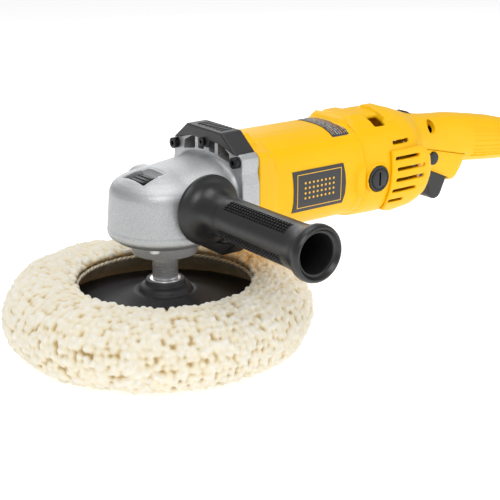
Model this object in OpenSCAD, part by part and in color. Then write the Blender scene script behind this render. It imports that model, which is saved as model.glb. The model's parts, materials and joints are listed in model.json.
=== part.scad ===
// Rotary polisher: bevel-gear head, in-line motor and rear handle, side handle, and a wool
// bonnet on a rubber backing pad.
// The spindle stands on +Z with the bonnet's face at z = 0. The motor axis runs along +X.

/* [Motor axis] */
// Height of the motor axis above the bonnet's face
axis_z = 116; // [114:1:118]
// Distance from the spindle to the end of the rear handle
tool_end_x = 404; // [402:1:406]

/* [Gear case] */
// Outer radius of the round gear head
head_r = 42.7; // [42.5:0.1:43.5]
// Underside of the gear head
head_z0 = 88; // [87.6:0.2:88.4]
// Front face of the mounting flange
flange_x0 = 39; // [38:1:40]
// Joint between the gear case and the motor housing
flange_x1 = 55; // [54:1:56]
// Half width of the neck where it meets the flange
neck_hw = 42; // [40:0.5:42.5]
// Half height of the neck where it meets the flange
neck_hh = 26; // [25:0.5:27]

/* [Motor housing] */
// Half width of the motor housing
body_hw = 42; // [41:0.5:43]
// Half height of the motor housing
body_hh = 40.5; // [40:0.5:42]
// Joint between the motor housing and the rear housing
body_x1 = 161; // [160:0.5:161]
// Wall thickness of the plastic housings
wall = 3; // [2.5:0.25:3.5]

/* [Side handle] */
// Distance of the side handle's axis behind the spindle
grip_x = 7.6; // [6:0.2:9]
// Distance of the side handle's flange from the spindle
grip_y0 = 46; // [45.8:0.2:46.6]
// Distance of the side handle's far end from the spindle
grip_y1 = 172.4; // [165:0.2:176]
// Radius of the grip
grip_r = 15.6; // [15:0.1:17]

/* [Pad] */
// Radius of the rubber backing pad
pad_r = 88.9; // [86:0.1:90]
// Outer radius of the wool bonnet
bonnet_r = 119; // [117:1:121]
// Height of the wool bonnet
bonnet_h = 57; // [56:0.5:58]
// Radius of the bonnet's mouth
mouth_r = 66; // [64:1:68]

/* [Gears] */
// Teeth on the pinion
pinion_teeth = 9; // [9:1:9]
// Teeth on the ring gear
wheel_teeth = 40; // [40:1:40]
// Gear module
gear_module = 1.75; // [1.7:0.05:1.8]
// Pressure angle
pressure = 25; // [25:1:25]

/* [Hidden] */

$fn = 64;
fit = 0.03;                              // radial clearance of a running fit
loft_n = 36;                             // points round a housing section
yellow = [0.98, 0.74, 0.04];
black = [0.09, 0.09, 0.10];
alloy = [0.72, 0.73, 0.74];
steel = [0.62, 0.63, 0.65];
copper = [0.72, 0.42, 0.22];

// Bevel gear pair. Both pitch cones meet where the spindle crosses the motor axis.
pinion_cone = atan(pinion_teeth / wheel_teeth);
cone_dist = gear_module * wheel_teeth / 2 / cos(pinion_cone);
toe = 0.7;                               // inner end of the teeth, as a share of the cone distance
backlash = 0.22;                         // thinning of each tooth at its outer end

// Where things stand along the motor axis
front_bearing_x = 42;
fan_x = 59;
core_x0 = 88;
core_x1 = 140;
commutator_x0 = 162;
brush_x = 173.5;
rear_bearing_x = 190;
stator_r = 37.6;
rotor_r = 24;

// Flange screws, and the outline that the flange shares with the guards
screw_y = 40;
screw_z = 28.5;
guard_top = 47.8;

// Spindle cover and lower bearing
cover_z0 = 74.4;
bearing_z = 88;

// Spindle lock
lock_x = -17;
lock_hole_r = 3.2;
button_top = 18;                         // top of the lock button above the motor axis
clip_z = 109.3;                          // step of the spindle above the ring gear

// Trigger, lock-on button and speed dial
trigger_pivot = [262, 101.5];
trigger_hw = 9;
lock_on_pos = [259.6, 110.4];
dial_pos = [238, 139.6];
dial_r = 12;
handle_screw = [258.5, 137.4];
handle_seat = 7;                         // floor of each handle screw's recess, off the middle plane

// Rear housing sections: x, centre height, half width, height above and below centre, squareness
rear_sections = [
    [body_x1, axis_z, 42.6, 41.3, 41.3, 2.4], [168, axis_z, 43.5, 42, 42.3, 2.4],
    [185, axis_z, 44, 42.6, 43, 2.4], [205, axis_z, 44, 42.6, 43, 2.4], [220, axis_z, 42, 41, 42, 2.3],
    [230, 117, 36, 36.5, 37, 2.2], [236, 119, 29, 32.5, 31, 2.2], [243, 121.5, 23.5, 28, 25, 2.3],
    [252, 122, 21, 25, 24, 2.5], [264, 121.5, 20, 23.5, 25.5, 2.6], [275, 120, 19.5, 24, 29, 2.6],
    [291, 119, 19, 24, 35.5, 2.6], [296, 118.5, 18.6, 24, 36.5, 2.6], [300, 118.5, 18.5, 23.4, 30, 2.5],
    [304, 118.5, 18.5, 22.8, 19.8, 2.4], [311, 118, 18.3, 22.2, 20.5, 2.4],
    [327, 116, 18.2, 21.5, 20.2, 2.4], [345, 113.8, 18, 20.4, 19.9, 2.4],
    [362, 111.3, 18, 18.7, 18.8, 2.4], [385, 107.5, 18.5, 17.6, 17.6, 2.4],
    [tool_end_x - 7, 105.3, 20, 18.5, 18.3, 2.4], [tool_end_x - 2, 105, 19, 17.6, 17.4, 2.4],
    [tool_end_x, 105, 16.5, 15.2, 15, 2.4]];
cord_z = 105;                            // height of the cord inlet

// ---- helpers ----

function superellipse(hw, up, down, power, n = loft_n) =
    [for (i = [0 : n - 1]) let (t = 360 * i / n, c = cos(t), s = sin(t))
        [hw * sign(c) * pow(abs(c), 2 / power),
         (s >= 0 ? up : down) * sign(s) * pow(abs(s), 2 / power)]];

function section_ring(s, grow) =
    [for (p = superellipse(s[2] + grow, s[3] + grow, s[4] + grow, s[5])) [s[0], p[0], s[1] + p[1]]];

// A closed solid through sections along X, grown or shrunk all round by grow.
module loft(sections, grow = 0) {
    m = len(sections);
    polyhedron(
        points = [for (s = sections) each section_ring(s, grow)],
        faces = concat(
            [[for (i = [0 : loft_n - 1]) i]],
            [[for (i = [loft_n - 1 : -1 : 0]) (m - 1) * loft_n + i]],
            [for (k = [0 : m - 2], i = [0 : loft_n - 1]) let (j = (i + 1) % loft_n)
                [k * loft_n + i, (k + 1) * loft_n + i, (k + 1) * loft_n + j, k * loft_n + j]]));
}

// A round bar along X on the motor axis.
module axial(r, x0, x1) {
    translate([x0, 0, axis_z]) rotate([0, 90, 0]) cylinder(r = r, h = x1 - x0);
}

// A round bar along Y from y0 to y1, at x and z.
module cross(r, y0, y1, x, z) {
    translate([x, y1, z]) rotate([90, 0, 0]) cylinder(r = r, h = y1 - y0);
}

// An outline in Y and Z about the motor axis, extruded along X.
module plate(x0, x1) {
    translate([x0, 0, axis_z]) rotate([90, 0, 90]) linear_extrude(x1 - x0) children();
}

// A box from corner a to corner b.
module block(a, b) {
    translate(a) cube(b - a);
}

// A sealed ball bearing, drawn as one ring with recessed shields.
module bearing(r_in, r_out, width) {
    ring = 0.22 * (r_out - r_in);
    dish = width / 8;
    rotate_extrude() polygon([
        [r_in, 0], [r_in + ring, 0], [r_in + ring, dish], [r_out - ring, dish], [r_out - ring, 0],
        [r_out, 0], [r_out, width], [r_out - ring, width], [r_out - ring, width - dish],
        [r_in + ring, width - dish], [r_in + ring, width], [r_in, width]]);
}

// A coil spring standing on z = 0.
module coil_spring(r, wire, height, turns) {
    sides = 6;
    steps = 10 * turns;
    rings = [for (k = [0 : steps]) let (a = 360 * turns * k / steps,
                                        z = wire + (height - 2 * wire) * k / steps)
        [for (i = [0 : sides - 1]) let (t = 360 * i / sides)
            [(r + wire * cos(t)) * cos(a), (r + wire * cos(t)) * sin(a), z + wire * sin(t)]]];
    polyhedron(
        points = [for (ring = rings) each ring],
        faces = concat(
            [[for (i = [0 : sides - 1]) i]],
            [[for (i = [sides - 1 : -1 : 0]) steps * sides + i]],
            [for (k = [0 : steps - 1], i = [0 : sides - 1]) let (j = (i + 1) % sides)
                [k * sides + i, (k + 1) * sides + i, (k + 1) * sides + j, k * sides + j]]));
}

// ---- bevel gears: the apex of the pitch cone is the origin and the axis is +Z ----

function involute(a) = tan(a) * 180 / PI - a;

// Half the angle that a tooth covers on the unrolled back cone, at radius q.
function half_tooth(q, pitch, thick) =
    let (base = pitch * cos(pressure))
    (thick / 2 / pitch) * 180 / PI + involute(pressure) - (q > base ? involute(acos(base / q)) : 0);

// A point of the back cone at unrolled radius q and unrolled angle a.
function on_back_cone(q, a, cone) =
    [q * cos(cone) * cos(a / cos(cone)), q * cos(cone) * sin(a / cos(cone)),
     cone_dist / cos(cone) - q * sin(cone)];

module bevel_tooth(cone, levels) {
    pitch = cone_dist * tan(cone);
    thick = gear_module * PI / 2 - backlash;
    n = len(levels);
    outer = concat(
        [for (q = levels) on_back_cone(q, half_tooth(q, pitch, thick), cone)],
        [for (q = levels) on_back_cone(q, -half_tooth(q, pitch, thick), cone)]);
    polyhedron(
        points = concat(outer, [for (p = outer) p * toe]),
        faces = concat(
            [for (i = [0 : n - 2]) [i, i + 1, n + i + 1, n + i]],
            [for (i = [0 : n - 2]) [3 * n + i, 3 * n + i + 1, 2 * n + i + 1, 2 * n + i]],
            [for (i = [0 : n - 2]) [2 * n + i, 2 * n + i + 1, i + 1, i]],
            [for (i = [0 : n - 2]) [n + i, n + i + 1, 3 * n + i + 1, 3 * n + i]],
            [[0, n, 3 * n, 2 * n], [2 * n - 1, n - 1, 3 * n - 1, 4 * n - 1]]));
}

// The blank under the teeth, a little longer than they are at both ends, and closed at depth.
module bevel_blank(cone, root, depth, bore) {
    a = on_back_cone(root, 0, cone);
    heel = 1.01;
    inner = toe - 0.01;
    rotate_extrude() polygon([[bore, depth], [a[0] * heel, depth], [a[0] * heel, a[2] * heel],
                              [a[0] * inner, a[2] * inner], [bore, a[2] * inner]]);
}

// ---- gear head ----

head_profile = [[0, head_z0], [head_r - 2.4, head_z0], [head_r, head_z0 + 4], [head_r - 1, axis_z + 4],
                [head_r - 1.6, axis_z + 7.2], [head_r - 3, axis_z + 10], [head_r - 5.5, axis_z + 12.6],
                [head_r - 10, axis_z + 14.8], [head_r - 18, axis_z + 17.6], [head_r - 30, axis_z + 21],
                [0, axis_z + 23]];
socket_y = 37.4;                         // blind end of each side handle socket
flange_half = [[0, 40.8], [19, 40.8], [37, 33.6], [42.5, 33.6], [46.5, 28], [46.5, 0]];

// Mirrors a quarter outline in Y and Z to a whole one.
function whole(q) =
    let (n = len(q))
    concat(q, [for (i = [n - 2 : -1 : 0]) [q[i][0], -q[i][1]]],
           [for (i = [1 : n - 1]) [-q[i][0], -q[i][1]]],
           [for (i = [n - 2 : -1 : 1]) [-q[i][0], q[i][1]]]);

module neck_outline(grow) {
    polygon(superellipse(neck_hw + grow, neck_hh + grow, neck_hh + grow, 2.2));
}

module flange_windows() {
    difference() {
        for (side = [-1, 1], y = [-26, -12, 3, 16])
            block([flange_x0 - 1, y, side > 0 ? axis_z + 24 : axis_z - 37.5],
                  [flange_x1 + 1, y + (abs(y) > 14 ? 10 : 9), side > 0 ? axis_z + 37.5 : axis_z - 24]);
        plate(flange_x0 - 2, flange_x1 + 2) neck_outline(1.5);
        for (y = [-1, 1], z = [-1, 1])
            translate([flange_x0 - 2, y * screw_y, axis_z + z * screw_z])
                rotate([0, 90, 0]) cylinder(r = 6.6, h = 30);
    }
}

module screw_bores(r, x0, x1) {
    for (y = [-1, 1], z = [-1, 1])
        translate([x0, y * screw_y, axis_z + z * screw_z]) rotate([0, 90, 0]) cylinder(r = r, h = x1 - x0);
}

module gear_case_shell() difference() {
    union() {
        rotate_extrude() polygon(head_profile);
        hull() {
            plate(-6, -5) neck_outline(-6);
            plate(flange_x0 - 1, flange_x0 + 0.1) neck_outline(0);
        }
        plate(flange_x0, flange_x1) polygon(whole(flange_half));
        cross(17, -grip_y0 + 0.4, grip_y0 - 0.4, grip_x, axis_z);
    }
    // gear chamber, open below for the spindle cover
    translate([0, 0, head_z0 - 1]) cylinder(r = 39, h = axis_z + 7 - head_z0);
    translate([0, 0, axis_z + 5.9]) cylinder(r1 = 39, r2 = 26, h = 7);
    axial(16, 0, front_bearing_x - 3);
    axial(12, 30, front_bearing_x);
    axial(15.02, front_bearing_x, flange_x1 + 1);
    flange_windows();
    screw_bores(2.5, flange_x0 - 1, flange_x1 + 1);
    // window over the spindle lock button
    hull() {
        translate([-25.5, -13.9, axis_z + 6]) cube([1, 27.8, 40]);
        translate([-5.7, -10.4, axis_z + 6]) cube([1, 20.8, 40]);
    }
    for (z = [-1, 1])
        translate([flange_x0 - 1, 0, axis_z + z * 37]) rotate([0, 90, 0]) cylinder(r = 1.6, h = 12);
}

module gear_case() color(alloy) difference() {
    union() {
        gear_case_shell();
        // boss of the upper spindle bearing
        difference() {
            translate([0, 0, axis_z + 6.5]) cylinder(r = 12, h = 14);
            block([-26, -14, axis_z + 5], [-11.2, 14, axis_z + 40]);
        }
        // shelf that guides the lock pin and carries its spring
        block([-40.5, -7, axis_z - 1.5], [lock_x + 6, 7, axis_z + 1.5]);
        // blind inner ends of the side handle sockets
        for (s = [-1, 1])
            cross(8.5, s > 0 ? socket_y - 1 : -42, s > 0 ? 42 : 1 - socket_y, grip_x, axis_z);
    }
    translate([0, 0, axis_z + 5]) cylinder(r = 9.02, h = 11.6);
    translate([lock_x, 0, axis_z - 3]) cylinder(r = 2.55, h = 6);
    cross(6.05, -grip_y0 - 1, -socket_y, grip_x, axis_z);
    cross(6.05, socket_y, grip_y0 + 1, grip_x, axis_z);
}

module spindle_cover() color(alloy) difference() {
    union() {
        translate([0, 0, cover_z0]) cylinder(r = 25, h = head_z0 + 1 - cover_z0);
        translate([0, 0, head_z0 - 2.5]) cylinder(r1 = 36.5, r2 = 38.9, h = 2.5);
        translate([0, 0, head_z0]) cylinder(r = 38.9, h = 4);
        translate([0, 0, head_z0 + 3.9]) cylinder(r = 24, h = 8.1);
    }
    translate([0, 0, cover_z0 - 1]) cylinder(r = 10.4, h = 40);
    translate([0, 0, bearing_z]) cylinder(r = 20.02, h = 20);
    for (a = [45 : 90 : 315]) rotate(a) translate([31, 0, 80]) cylinder(r = 2.2, h = 20);
}

module spindle_cover_screws() color(steel)
    for (a = [45 : 90 : 315]) rotate(a) translate([31, 0, 0]) difference() {
        union() {
            translate([0, 0, head_z0 - 5.4]) cylinder(r = 3.8, h = 2.9);
            translate([0, 0, head_z0 - 2.6]) cylinder(r = 2, h = 8);
        }
        translate([0, 0, head_z0 - 6]) cylinder(r = 1.7, h = 2, $fn = 6);
    }

module guard(side) color(black)
    mirror([0, 0, side > 0 ? 0 : 1]) translate([0, 0, side > 0 ? 0 : -2 * axis_z]) difference() {
        union() {
            plate(flange_x0 - 1.5, flange_x1) polygon([
                [-41, 33.7], [-22.4, guard_top], [22.4, guard_top], [41, 33.7], [37.1, 33.7],
                [19.1, 40.9], [-19.1, 40.9], [-37.1, 33.7]]);
            plate(flange_x0 - 2.5, flange_x0 - 0.02) polygon([
                [-40.4, 34], [-22, guard_top - 0.8], [22, guard_top - 0.8], [40.4, 34], [34, 34],
                [17, 38.4], [5.5, 38.4], [4.5, 33.2], [-4.5, 33.2], [-5.5, 38.4], [-17, 38.4], [-34, 34]]);
        }
        translate([flange_x0 - 3, 0, axis_z + 37]) rotate([0, 90, 0]) cylinder(r = 1.8, h = 6);
    }

module upper_guard() guard(1);
module lower_guard() guard(-1);

module pan_screw(head_rad, head_len, shank_rad, shank_len) {
    difference() {
        translate([-head_len, 0, 0]) rotate([0, 90, 0]) cylinder(r = head_rad, h = head_len);
        translate([-head_len - 1, 0, 0]) rotate([0, 90, 0])
            cylinder(r = head_rad * 0.5, h = head_len * 0.6 + 1, $fn = 6);
    }
    rotate([0, 90, 0]) cylinder(r = shank_rad, h = shank_len);
}

module guard_screws() color(black)
    for (z = [-1, 1]) translate([flange_x0 - 2.5, 0, axis_z + z * 37]) pan_screw(3.2, 2.6, 1.5, 11);

module gear_case_screws() color(black)
    for (y = [-1, 1], z = [-1, 1])
        translate([flange_x0, y * screw_y, axis_z + z * screw_z]) pan_screw(4.2, 4.6, 2.1, 28);

module lower_spindle_bearing() color(steel) translate([0, 0, bearing_z + 0.05]) bearing(8.5 + fit, 20, 12);
module upper_spindle_bearing() color(steel) translate([0, 0, axis_z + 8]) bearing(6 + fit, 9, 8.5);

// ---- housings ----

module body_outline(shrink = 0) {
    polygon(superellipse(body_hw - shrink, body_hh - shrink, body_hh - shrink, 2.4, 72));
}

module motor_housing() color(yellow) difference() {
    union() {
        plate(flange_x1, body_x1) body_outline();
        plate(flange_x1, flange_x1 + 11) polygon(whole([[0, 44], [21, 44], [39.5, 34], [44, 34],
                                                          [46, 29], [46, 0]]));
        hull() {
            plate(flange_x1 + 10.9, flange_x1 + 11)
                polygon(whole([[0, 44], [21, 44], [39.5, 34], [46, 29], [46, 0]]));
            plate(flange_x1 + 18, flange_x1 + 18.1) body_outline(-0.2);
        }
        // raised rim at the joint with the rear housing
        plate(body_x1 - 4, body_x1) body_outline(-0.8);
    }
    axial(stator_r + 0.2, flange_x1 - 1, body_x1 + 1);
    screw_bores(2.3, flange_x1 - 1, flange_x1 + 14);
}

module rear_inner(grow) {
    loft(concat([[body_x1 - 1, axis_z, 42, 41.5, 41, 2.4]],
                [for (s = rear_sections) if (s[0] > body_x1 && s[0] < tool_end_x - 4) s]), grow);
}

// Everything under the seam that the trigger housing closes.
module trigger_region(gap) {
    translate([0, 40, 0]) rotate([90, 0, 0]) linear_extrude(80)
        polygon([[246 + gap, 60], [246 + gap, 121 - gap], [303 - gap, 107.3 - gap], [306 - gap, 60]]);
}

module brush_boss(side) {
    cross(12, side > 0 ? 36 : -46.5, side > 0 ? 46.5 : -36, brush_x, axis_z - 4);
}

// Ends of the five slots of a vent shield, from the lowest up
slot_ends = [[190, 206], [190.5, 217], [193, 224.5], [193.5, 225], [191.5, 218]];

module vent_slots() {
    for (i = [0 : 4])
        block([slot_ends[i][0], -60, 87.6 + 9.1 * i], [slot_ends[i][1], 60, 90.4 + 9.1 * i]);
}

module rear_housing() color(yellow) difference() {
    union() {
        loft(rear_sections);
        for (s = [-1, 1]) brush_boss(s);
        // raised band behind the joint, and the hump beside the top window
        intersection() {
            loft(rear_sections, 1.2);
            block([164, -24, axis_z + 20], [180, 24, axis_z + 60]);
        }
        intersection() {
            loft(rear_sections, 3);
            block([194.5, -27, axis_z + 20], [206, 3, axis_z + 60]);
        }
    }
    difference() {
        rear_inner(-wall);
        for (s = [-1, 1]) cross(11.8, s > 0 ? 30 : -46, s > 0 ? 46 : -30, brush_x, axis_z - 4);
        axial(14, rear_bearing_x - 2, rear_bearing_x + 10);
        // spider that carries the rear bearing
        block([rear_bearing_x - 1, -50, axis_z - 2], [rear_bearing_x + 8, 50, axis_z + 2]);
        block([rear_bearing_x - 1, -2, axis_z - 50], [rear_bearing_x + 8, 2, axis_z + 50]);
        // posts for the screws of the trigger housing, and the tube of the handle screws
        for (y = [-12, 12]) translate([250, y, 106]) cylinder(r = 3.4, h = 50);
        cross(4.6, -30, 30, handle_screw[0], handle_screw[1]);
    }
    for (y = [-12, 12]) translate([250, y, 100]) cylinder(r = 1.55, h = 16);
    for (s = [-1, 1])
        cross(3.6, s > 0 ? handle_seat : -30, s > 0 ? 30 : -handle_seat, handle_screw[0], handle_screw[1]);
    cross(1.55, -20, 20, handle_screw[0], handle_screw[1]);
    for (y = [-7, 7]) translate([372, y, 94.2]) cylinder(r = 1.55, h = 8);
    // stage for the rear bearing and its rubber boot
    axial(12.52, rear_bearing_x - 3, rear_bearing_x + 7.6);
    trigger_region(0);
    for (s = [-1, 1]) {
        cross(10.6, s > 0 ? 41 : -60, s > 0 ? 60 : -41, brush_x, axis_z - 4);
        block([brush_x - 5, s > 0 ? 10 : -48, axis_z - 11], [brush_x + 5, s > 0 ? 48 : -10, axis_z + 3]);
        // air windows behind the shields
        block([193, s > 0 ? 30 : -60, 86], [221, s > 0 ? 60 : -30, 128]);
        // single slot above the shield, and the window beside the saddle
        block([193, s > 0 ? 20 : -60, 135.6], [212, s > 0 ? 60 : -20, 138.4]);
        block([182.8, s > 0 ? 17 : -30, 140], [193.6, s > 0 ? 30 : -17, 170]);
    }
    // slot for the speed dial
    cross(dial_r + 0.5, -4.6, 4.6, dial_pos[0], dial_pos[1]);
    translate([tool_end_x - 13, 0, cord_z]) rotate([0, 90, 0]) cylinder(r = 9.02, h = 20);
}

module trigger_housing() color(yellow) difference() {
    intersection() {
        difference() {
            loft(rear_sections);
            rear_inner(-wall);
        }
        trigger_region(0.15);
    }
    block([254, -trigger_hw - 0.6, 60], [291, trigger_hw + 0.6, 104]);
    cross(5.8, -30, -9.6, lock_on_pos[0], lock_on_pos[1]);
    cross(2.02, -12.5, 12.5, trigger_pivot[0], trigger_pivot[1]);
    for (y = [-12, 12]) translate([250, y, 0]) {
        translate([0, 0, 90]) cylinder(r = 3.1, h = 12);
        cylinder(r = 1.6, h = 110);
    }
}

module trigger_housing_screws() color(steel) for (y = [-12, 12]) translate([250, y, 99.9]) {
    cylinder(r = 2.9, h = 2.1);
    translate([0, 0, 2]) cylinder(r = 1.5, h = 13);
}

module handle_screws() color(steel) on_both_sides() {
    cross(2.9, handle_seat + 0.1, handle_seat + 2, handle_screw[0], handle_screw[1]);
    cross(1.5, 1, handle_seat + 0.2, handle_screw[0], handle_screw[1]);
}

// The shields follow the housing at the front and stand off where it narrows
shield_sections = [
    [184, axis_z, 45.2, 44.6, 44.2, 2.4], [190, axis_z, 46.8, 45.6, 45.6, 2.4],
    [205, axis_z, 47, 45.8, 46, 2.4], [220, axis_z, 46.6, 44, 45, 2.4], [229, axis_z, 45.6, 42, 44, 2.4],
    [238, axis_z, 43, 39, 42, 2.4]];

module vent_shield(side) color(yellow) difference() {
    intersection() {
        loft(shield_sections);
        translate([0, side > 0 ? 60 : 26, 0]) rotate([90, 0, 0]) linear_extrude(side > 0 ? 34 : 86)
            polygon([[188, 132], [224, 132], [232, 122], [234, 108], [231, 92], [222, 80], [205, 75],
                     [192, 79], [188, 92]]);
        block([180, side > 0 ? 26 : -60, 70], [240, side > 0 ? 60 : -26, 140]);
    }
    loft(rear_sections, 0.15);
    loft([for (s = shield_sections) if (s[0] > 210) s], -2.6);
    vent_slots();
}

module right_vent_shield() vent_shield(-1);
module left_vent_shield() vent_shield(1);

// ---- brush gear ----

module on_side(side) {
    if (side > 0) children(); else mirror([0, 1, 0]) children();
}

module on_both_sides() {
    for (s = [-1, 1]) on_side(s) children();
}

module brush_cap(side) color(black) on_side(side) difference() {
    union() {
        cross(10.5, 41.1, 46.9, brush_x, axis_z - 4);
        cross(8.6, 46.8, 47.6, brush_x, axis_z - 4);
    }
    block([brush_x - 0.8, 46.2, axis_z - 9], [brush_x + 0.8, 49, axis_z + 1]);
}

module brush_holder(side) color([0.80, 0.62, 0.28]) on_side(side) difference() {
    block([brush_x - 4.9, 16, axis_z - 10.8], [brush_x + 4.9, 40, axis_z + 2.8]);
    block([brush_x - 3.6, 15, axis_z - 9.4], [brush_x + 3.6, 41, axis_z + 1.4]);
}

module carbon_brush(side) color([0.2, 0.2, 0.2]) on_side(side)
    block([brush_x - 3.5, 14.2, axis_z - 9.3], [brush_x + 3.5, 30, axis_z + 1.3]);

module brush_springs() color(steel) on_both_sides()
    translate([brush_x, 30.1, axis_z - 4]) rotate([-90, 0, 0]) coil_spring(2.6, 0.45, 9.8, 6);

module right_brush_cap() brush_cap(-1);
module left_brush_cap() brush_cap(1);
module right_brush_holder() brush_holder(-1);
module left_brush_holder() brush_holder(1);
module right_carbon_brush() carbon_brush(-1);
module left_carbon_brush() carbon_brush(1);

// ---- badges ----

module side_badges() color(black) on_both_sides() intersection() {
    translate([0, 60, 0]) rotate([90, 0, 0]) linear_extrude(60)
        polygon([[89, 97], [139, 97], [142, 113], [139, 129.5], [88.5, 129.5], [90, 113]]);
    difference() {
        plate(80, 150) body_outline(-0.5);
        plate(79, 151) body_outline(-0.02);
    }
}

module top_label() color(black) intersection() {
    block([138, -30, axis_z + 20], [156, 14, axis_z + 60]);
    difference() {
        plate(130, 160) body_outline(-0.3);
        plate(129, 161) body_outline(-0.02);
    }
}

// ---- side handle ----

module side_handle_grip() color(black) translate([grip_x, -grip_y0, axis_z]) rotate([90, 0, 0]) {
    span = grip_y1 - grip_y0;
    difference() {
        rotate_extrude() polygon([
            [0, 0], [25, 0], [26, 1.2], [26, 3], [24, 4.4], [19, 7], [15.2, 11], [13, 16], [12.4, 21],
            [14.2, 22.6], [grip_r - 0.4, 25], [grip_r - 0.4, 27], [grip_r, span - 26],
            [grip_r + 0.4, span - 16], [grip_r + 1.8, span - 11.5], [19, span - 8], [19.6, span - 5],
            [19.4, span - 2], [18, span], [16.4, span], [15, span - 2.5], [13.6, span - 3], [0, span - 3]]);
        translate([0, 0, span - 42]) cylinder(r = 13.4, h = 80);
        translate([0, 0, -1]) cylinder(r = 6.05, h = 40);
    }
}

module side_handle_stud() color(steel) {
    cross(6, -grip_y0 - 38, -socket_y - 0.5, grip_x, axis_z);
}

// ---- motor ----

module front_armature_bearing() color(steel)
    translate([front_bearing_x, 0, axis_z]) rotate([0, 90, 0]) bearing(5 + fit, 15, 9);
module rear_armature_bearing() color(steel)
    translate([rear_bearing_x, 0, axis_z]) rotate([0, 90, 0]) bearing(4 + fit, 11, 7);

module rear_bearing_boot() color(black) difference() {
    axial(12.5, rear_bearing_x - 0.5, rear_bearing_x + 7.5);
    axial(11.02, rear_bearing_x - 1, rear_bearing_x + 8);
}

slot_angles = [52, 128, 232, 308];

module field_core() color([0.45, 0.46, 0.48]) difference() {
    axial(stator_r, core_x0, core_x1);
    axial(rotor_r + 0.7, core_x0 - 1, core_x1 + 1);
    for (a = slot_angles) translate([core_x0 - 1, 0, axis_z]) rotate([a, 0, 0])
        translate([0, 30.5, 0]) rotate([0, 90, 0]) cylinder(r = 4.3, h = 60);
}

module field_coil(side) color(copper) for (x = [core_x0 - 8, core_x1]) {
    translate([x, 0, axis_z]) rotate([0, 90, 0]) rotate(side > 0 ? 128 : -52) rotate_extrude(angle = 104)
        translate([26.5, 0]) square([8, 8]);
    for (a = [0, 1]) translate([core_x0 - 0.1, 0, axis_z]) rotate([slot_angles[a + (side > 0 ? 0 : 2)], 0, 0])
        translate([0, 30.5, 0]) rotate([0, 90, 0]) cylinder(r = 3.9, h = core_x1 - core_x0 + 0.2);
}

module upper_field_coil() field_coil(1);
module lower_field_coil() field_coil(-1);

module fan_baffle() color(black) difference() {
    axial(37.7, 74, 78);
    axial(27, 73, 79);
}

module armature_shaft() color(steel) {
    axial(3, 28.5, 41.1);
    axial(5, 41, rear_bearing_x - 1);
    axial(4, rear_bearing_x - 1.1, rear_bearing_x + 7);
}

module armature_core() color([0.5, 0.5, 0.52]) difference() {
    axial(rotor_r, core_x0, core_x1);
    axial(5.02, core_x0 - 1, core_x1 + 1);
    for (i = [0 : 11]) translate([core_x0 - 1, 0, axis_z]) rotate([30 * i, 0, 0])
        block([0, 17, -1], [60, 30, 1]);
}

module armature_windings() color(copper) for (x = [[core_x0 - 9, core_x0 - 0.05], [core_x1 + 0.05, 157]])
    difference() {
        axial(x[0] < 100 ? 21 : 20, x[0], x[1]);
        axial(5.02, x[0] - 1, x[1] + 1);
    }

module commutator() color(copper) difference() {
    axial(14, commutator_x0, commutator_x0 + 22);
    axial(5.02, commutator_x0 - 1, commutator_x0 + 23);
    for (i = [0 : 11]) translate([commutator_x0 - 1, 0, axis_z]) rotate([30 * i + 15, 0, 0])
        block([0, 13, -0.3], [30, 15, 0.3]);
}

module cooling_fan() color(black) difference() {
    union() {
        axial(34, fan_x, fan_x + 2.2);
        axial(11, fan_x, fan_x + 12);
        for (i = [0 : 11]) translate([fan_x, 0, axis_z]) rotate([30 * i, 0, 0])
            block([0, 10, -1], [11.5, 33.6, 1]);
    }
    axial(5.02, fan_x - 1, fan_x + 13);
}

// ---- gears and spindle ----

module pinion_gear() color(steel) translate([0, 0, axis_z]) {
    pitch = cone_dist * tan(pinion_cone);
    root = pitch - 0.9 * gear_module;
    difference() {
        union() {
            rotate([0, 90, 0]) {
                bevel_blank(pinion_cone, root, cone_dist * cos(pinion_cone) + 5, 0);
                for (i = [0 : pinion_teeth - 1]) rotate((i + 0.5) * 360 / pinion_teeth)
                    bevel_tooth(pinion_cone, [root - 0.5, pitch * cos(pressure), pitch,
                                              pitch + 0.5 * gear_module, pitch + gear_module]);
            }
        }
        translate([28, 0, 0]) rotate([0, 90, 0]) cylinder(r = 3.02, h = 30);
    }
}

module ring_gear() color(steel) translate([0, 0, axis_z]) rotate([180, 0, 0]) difference() {
    cone = 90 - pinion_cone;
    pitch = cone_dist * tan(cone);
    root = pitch - 1.2 * gear_module;
    union() {
        bevel_blank(cone, root, 15, 0);
        for (i = [0 : wheel_teeth - 1]) rotate(i * 360 / wheel_teeth)
            bevel_tooth(cone, [root - 0.4, pitch, pitch + 0.7 * gear_module]);
    }
    translate([0, 0, -20]) cylinder(r = 8.02, h = 60);
    for (a = [0 : 45 : 315]) rotate(a) translate([lock_x, 0, -20]) cylinder(r = lock_hole_r, h = 60);
}

module ring_gear_clip() color(black) translate([0, 0, clip_z]) difference() {
    cylinder(r = 10, h = 1.2);
    translate([0, 0, -1]) cylinder(r = 6.1, h = 4);
}

module spindle() color(steel) {
    translate([0, 0, 30]) cylinder(r = 7.9, h = 23.3);
    translate([0, 0, 53.2]) cylinder(r = 9.8, h = 34.8);
    translate([0, 0, 87.9]) cylinder(r = 8.5, h = 13.1);
    translate([0, 0, 100.9]) cylinder(r = 8, h = clip_z - 100.9);
    translate([0, 0, clip_z - 0.1]) cylinder(r = 6, h = axis_z + 16 - clip_z);
}

// ---- spindle lock ----

module spindle_lock_button() color(black) difference() {
    union() {
        block([-24.6, -11, axis_z + 8.6], [-12, 11, axis_z + 11.6]);
        for (i = [0 : 2])
            block([-23.2 + 3.6 * i, -9, axis_z + 11.5],
                  [-19.5 + 3.6 * i, 9, axis_z + button_top - 1.6 + 0.8 * i]);
    }
    translate([lock_x, 0, axis_z + 8]) cylinder(r = 2.5, h = 1.92);
}

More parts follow.
